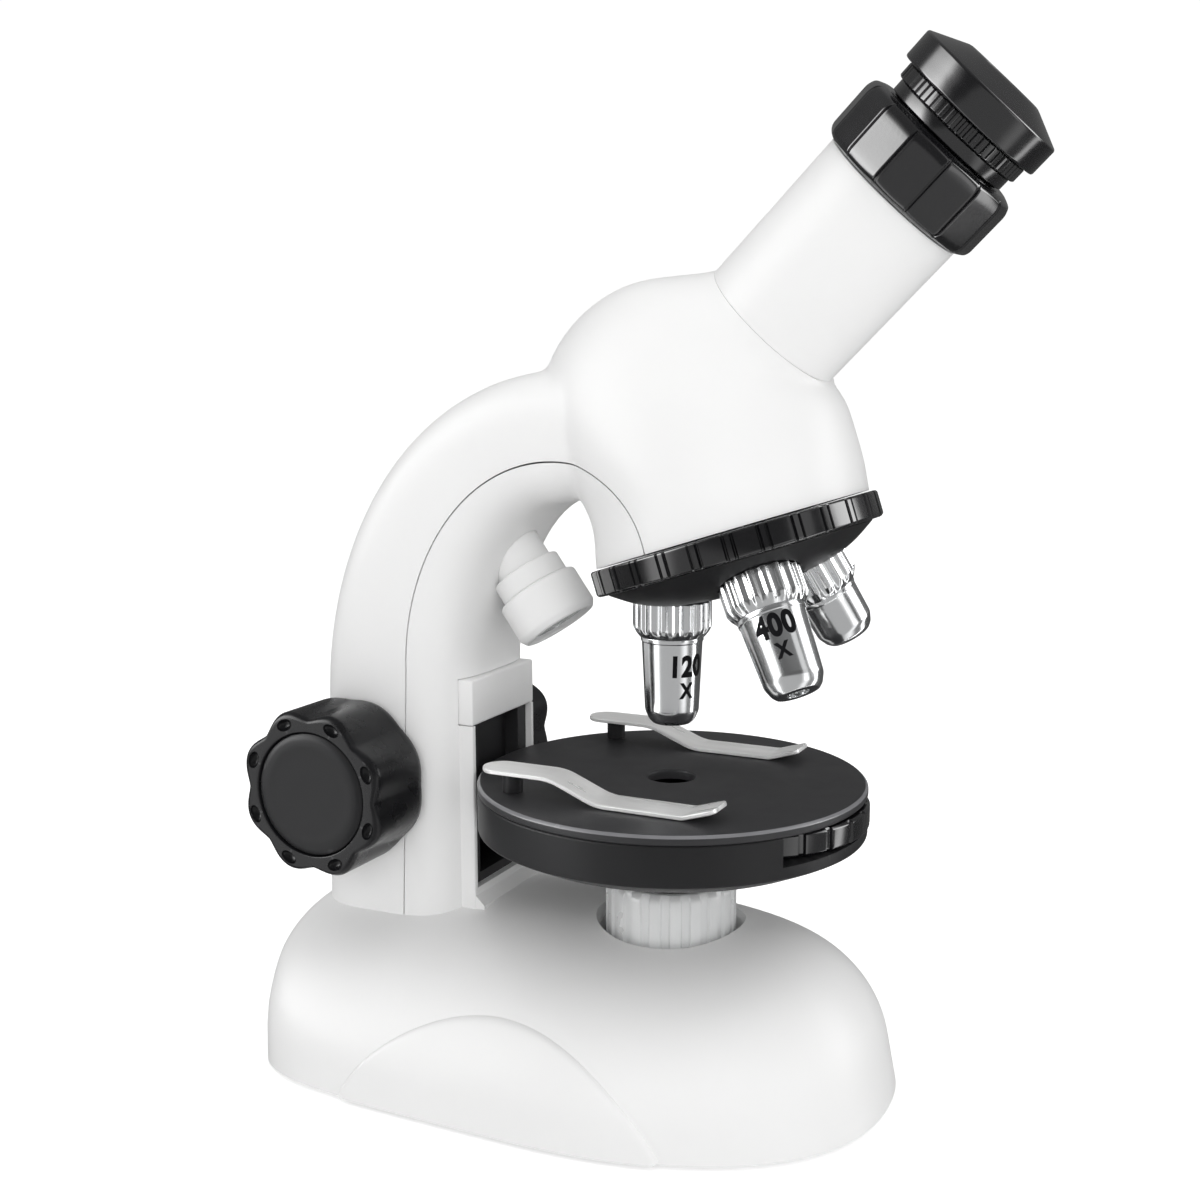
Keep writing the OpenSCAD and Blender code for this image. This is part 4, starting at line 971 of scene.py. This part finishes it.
def knob(which, side):
    """Fluted knob with a pit in each lobe, and the cap sunk in its face."""
    place = Matrix.Translation((KNOB_AXIS.x, side * KNOB_IN, KNOB_AXIS.z)) @ turned_by(-90 * side, "X")
    face = KNOB_W
    body = lathe("knob_%s_visual" % which, [
        (2.52, 0.02), (5.5, 0.02), (5.5, 8, 0.1), (13.4, 8, 0.1), (13.4, 0.02), (16.5, 0.02, 0.3),
        (17.2, 0.4, 0.5), (KNOB_R, 1.6, 0.6), (KNOB_R, face - 1.3, 0.5), (16.9, face - 0.45, 0.35),
        (16.2, face - 0.3, 0.3), (CAP_R + 0.35, face - 0.3, 0.2), (CAP_R + 0.12, face - CAP_H, 0.1),
        (2.52, face - CAP_H, 0.1)],
        place, count=LOBES * 40, soft=0.1, wave=lobes, step=1.2)
    for k in range(LOBES):
        pit = lathe("pit", [(0, -1), (0.5, -0.87), (0.87, -0.5), (1, 0), (0.87, 0.5), (0.5, 0.87), (0, 1)],
                    place @ turned_by(360 * (k + 0.5) / LOBES, "Z") @ Matrix.Translation((PIT_AT, 0, face))
                    @ Matrix.Diagonal((*PIT_SIZE, 1)), count=48, soft=0.2)
        combine(body, pit)
    dress(body, "focus", BLACK_KNOB, ["knob_" + which], crease=28)
    cap = lathe("knob_cap_%s_visual" % which, [
        (0, face - CAP_H + 0.05), (CAP_R - 0.3, face - CAP_H + 0.05), (CAP_R, face - CAP_H + 0.3, 0.2),
        (CAP_R, face - 0.75, 0.5), (CAP_R - 0.9, face - 0.2, 0.6), (CAP_R - 2.4, face - 0.03, 0.8),
        (CAP_R - 4.0, face - 0.12, 0.8), (0, face - 0.2)], place, soft=0.1, step=1.5)
    dress(cap, "focus", BLACK_SATIN, ["knob_cap_" + which])


for which, side in SIDES.items():
    knob(which, side)

# ---- Stage ----
STAGE_R, STAGE_TOP, PLATE_H, STAGE_FLOOR = 40.0, 63.6, 2.0, 50.6
PLATE_LOW = STAGE_TOP - PLATE_H
HOLE_R, LIGHT_R = 4.9, 9.0
WHEEL_AT, WHEEL_R, WHEEL_LOW, WHEEL_HIGH = 14.0, 26.9, 56.5, 61.2
CAVITY_LOW, CAVITY_R = 56.0, 27.6
WINDOW_HALF, WINDOW_REACH = 36, 60
FILTERS, FILTER_R, OPEN_R = 6, 4.6, 5.2
CLIP_X, CLIP_Y, POST_HOLE_R = -24.0, 24.0, 1.56
# Where the grey band painted on the stage's rim as a highlight begins, and how far down from the top it
# reaches
HIGHLIGHT_FROM, HIGHLIGHT_DEPTH = 39.4, 0.58


def bore(x, y, r, low, high, count=64):
    """Upright round tool solid at a place on the stage."""
    return plug(r, low, high, Matrix.Translation((x, y, 0)), count)


def clip_holes(piece, low):
    """Holes for the clips' posts, down to a height."""
    for y in (-CLIP_Y, CLIP_Y):
        combine(piece, bore(CLIP_X, y, POST_HOLE_R, low, 70))


def stage():
    """Round plate with a grey band painted along its rim as a highlight, and the body below it with the
    wheel's cavity and window.
    """
    plate = lathe("stage_plate_visual", [
        (HOLE_R, PLATE_LOW + 0.02), (39.7, PLATE_LOW + 0.02), (STAGE_R, PLATE_LOW + 0.35, 0.25),
        (STAGE_R, STAGE_TOP - 0.55, 0.2), (39.45, STAGE_TOP, 0.2), (HOLE_R + 0.3, STAGE_TOP, 0.1),
        (HOLE_R, STAGE_TOP - 0.3, 0.1)], HERE, count=256, soft=0.1)
    clip_holes(plate, 50)
    # Painted light: the plate's black is paler than the body's for its lit top, and the faces at its top edge
    # take a grey band as a painted highlight of the rim.
    dress(plate, "stage", LIT_STAGE_BLACK, ["stage_plate"])
    plate.data.materials.append(STAGE_RIM_HIGHLIGHT)
    for face in plate.data.polygons:
        spot = face.center / MM
        if spot.z > STAGE_TOP - HIGHLIGHT_DEPTH and spot.xy.length > HIGHLIGHT_FROM:
            face.material_index = 1

    body = lathe("stage_body_visual", [
        (LIGHT_R, STAGE_FLOOR), (33.5, STAGE_FLOOR, 0.6), (38.8, 53.1, 0.5), (39.9, 53.7, 0.15),
        (STAGE_R, 53.95, 0.1), (STAGE_R, PLATE_LOW - 0.25, 0.1), (39.75, PLATE_LOW, 0.1),
        (LIGHT_R, PLATE_LOW)], HERE, count=256, soft=0.2)
    combine(body, block("tongue", (-48.95, -8, 51.5), (-34.9, 8, 61), bevel=0.3), "UNION")
    combine(body, bore(WHEEL_AT, 0, CAVITY_R, CAVITY_LOW, PLATE_LOW + 5, 192))
    c, s = (WINDOW_REACH * share for share in cos_sin(WINDOW_HALF))
    sector = [(0, 0), (c, -s), (WINDOW_REACH, 0), (c, s)]
    window = make("window", *stack([[(x, y, z) for x, y in sector] for z in (CAVITY_LOW, PLATE_LOW + 3)]))
    combine(window, bore(0, 0, STAGE_R - 7, 40, 80, 128))
    combine(body, window)
    combine(body, bore(WHEEL_AT, 0, 2.52, 40, 70))
    clip_holes(body, PLATE_LOW - 4)
    dress(body, "stage", BLACK_SATIN, ["stage_body"], crease=30)


stage()


def filter_wheel():
    """Ribbed wheel with five filter holes and one open hole, which stands under the lens."""
    wheel = lathe("filter_wheel_visual", [
        (2.56, WHEEL_LOW), (26.4, WHEEL_LOW), (WHEEL_R, WHEEL_LOW + 0.5), (WHEEL_R, WHEEL_HIGH - 0.5),
        (26.4, WHEEL_HIGH), (24.3, WHEEL_HIGH), (24.3, WHEEL_LOW + 1.6), (5, WHEEL_LOW + 1.6),
        (5, WHEEL_HIGH), (2.56, WHEEL_HIGH)],
        Matrix.Translation((WHEEL_AT, 0, 0)), count=26 * 24, soft=0.2,
        wave=grooved(WHEEL_R, 26, 1.0, 0.65, inner=25.5))
    for k in range(FILTERS):
        c, s = cos_sin(180 + 360 / FILTERS * k)
        combine(wheel, bore(WHEEL_AT * (1 + c), WHEEL_AT * s, FILTER_R if k else OPEN_R, 50, 70))
    dress(wheel, "wheel", BLACK_GLOSS, ["filter_wheel"], crease=28)


filter_wheel()

CLIP_W, CLIP_T = 8.0, 0.8
# The leaf's side view from its tail: along X, above the stage, and a bend's radius
CLIP_PATH = [(-30.2, 4.2), (-14, 4.2, 2.2), (-4, 0.15, 2.2), (14, 0.15, 0.5), (20.4, 2.15)]


def clip(which, side):
    """Bent spring leaf with a round tail and a turned-up tip."""
    path = refined(softened(CLIP_PATH, 0, steps=8), 0.5)
    lengths = np.concatenate([[0], np.cumsum([math.dist(a, b) for a, b in zip(path[:-1], path[1:])])])
    total = lengths[-1]
    tail, tip, edge = CLIP_W / 2, 1.5, 0.16
    extra = [tail * (1 - math.cos(a)) for a in np.linspace(0.06, 1.5, 16)]
    extra += [total - tip * (1 - math.cos(a)) for a in np.linspace(0.1, 1.5, 8)]
    middle = lengths[(lengths > tail) & (lengths < total - tip)]
    stops = sorted(set(np.round(np.concatenate([middle, extra]), 4)))
    xs, zs = (np.interp(stops, lengths, [p[k] for p in path]) for k in range(2))
    rings = []
    for i, d in enumerate(stops):
        a, b = max(i - 1, 0), min(i + 1, len(stops) - 1)
        slope = np.array((xs[b] - xs[a], zs[b] - zs[a]))
        normal = np.array((-slope[1], slope[0])) / np.linalg.norm(slope)
        half = CLIP_W / 2
        if d < tail:
            half = math.sqrt(tail ** 2 - (tail - d) ** 2)
        elif total - d < tip:
            half -= tip - math.sqrt(tip ** 2 - (tip - total + d) ** 2)
        soft = min(edge, half * 0.4)
        profile = [(-half, soft), (-half, CLIP_T - soft), (-half + soft, CLIP_T), (half - soft, CLIP_T),
                   (half, CLIP_T - soft), (half, soft), (half - soft, 0), (-half + soft, 0)]
        rings.append([(xs[i] + normal[0] * h, side * CLIP_Y + y, STAGE_TOP + zs[i] + normal[1] * h)
                      for y, h in profile])
    node = "clip_" + which
    dress(make(node + "_visual", *stack(rings)), node, CLIP_STEEL, [node], crease=40)


for which, side in SIDES.items():
    clip(which, side)

# ---- Lamps ----
# Each piece's outline, and how soft its corners are
LAMP_PIECES = {
    "lamp_cap": ([(3.2, 0.0), (8.5, 0.0, 0.3), (9.0, 0.5, 0.3), (9.0, 8.1, 0.4), (8.15, 9.35, 0.3),
                  (7.5, 9.5, 0.15), (7.0, 9.1, 0.2), (7.0, 1.8), (3.2, 1.8)], 0.1),
    "lamp_ring": ([(3.2, -4.6), (7.3, -4.6), (7.6, -4.3), (7.6, -0.35), (7.35, -0.05), (3.2, -0.05)], 0.15),
    "lamp_stem": ([(3.2, -18.6), (STEM_R, -18.6), (STEM_R, -4.65), (3.2, -4.65)], 0.25),
}
for name, (outline, soft) in LAMP_PIECES.items():
    white(lathe(name + "_visual", outline, LAMP, soft=soft, step=2), name)

ILLUM_R, ILLUM_TOP = 13.6, 42.4
housing = lathe("illuminator_housing_visual", [
    (4, WELL_FLOOR + 0.02), (ILLUM_R, WELL_FLOOR + 0.02), (ILLUM_R, ILLUM_TOP - 1.2, 0.8),
    (12.4, ILLUM_TOP, 0.5), (11.2, ILLUM_TOP, 0.2), (11.2, 29.5), (4, 29.5)], HERE, count=20 * 24, soft=0.2,
    wave=grooved(ILLUM_R, 20, 1.5, 0.6, inner=12.2), step=1.5)
dress(housing, "stand", FROSTED, ["illuminator_housing"], crease=30)

# ---- CAD nodes that keep their shape ----
TINTS = {"red": (0.6, 0.02, 0.02), "gold": (0.65, 0.4, 0.02), "green": (0.05, 0.45, 0.06),
         "blue": (0.02, 0.2, 0.6), "violet": (0.35, 0.06, 0.5)}
KEPT = {
    "plate_plastic": (PLATE, ["base_plate", "battery_door"]),
    "rubber": (RUBBER, ["rubber_feet"]),
    "steel": (STEEL, ["battery_contacts", "base_screws", "turret_pivot", "wheel_pivot", "focus_shaft"]),
    "cell": (CELL, ["battery_cells"]),
    "board": (BOARD, ["circuit_board"]),
    "black_satin": (BLACK_SATIN, ["switch_housing", "slide_channel", "stage_carriage", "clip_post_near",
                                  "clip_post_far"]),
    "black_gloss": (BLACK_GLOSS, ["switch_button"]),
    "nylon": (NYLON, ["shaft_bushes", "focus_pinion"]),
    "inner_grey": (GREY, ["head_plate", "mirror_holder"]),
    "mirror": (MIRROR, ["head_mirror"]),
    "lens": (LENS, ["illuminator_lens", "lamp_lens", "eye_lens", "field_lens", "objective_lenses"]),
    "diffuser": (FROSTED, ["illuminator_led", "lamp_led"]),
}
for slot_name, (material, nodes) in KEPT.items():
    for node in nodes:
        cad = frame["nodes"][node]
        cad.data.materials.clear()
        cad.data.materials.append(material)

filters = frame["nodes"]["wheel_filters"]
filters.data.materials.clear()
for name, tint in TINTS.items():
    filters.data.materials.append(clear("filter_" + name, tint, rough=0.1, transmission=0.9))
for face in filters.data.polygons:
    spot = face.center / MM
    turn = math.degrees(math.atan2(spot.y, spot.x - WHEEL_AT)) - 180
    face.material_index = (round(turn * FILTERS / 360) - 1) % FILTERS % len(TINTS)
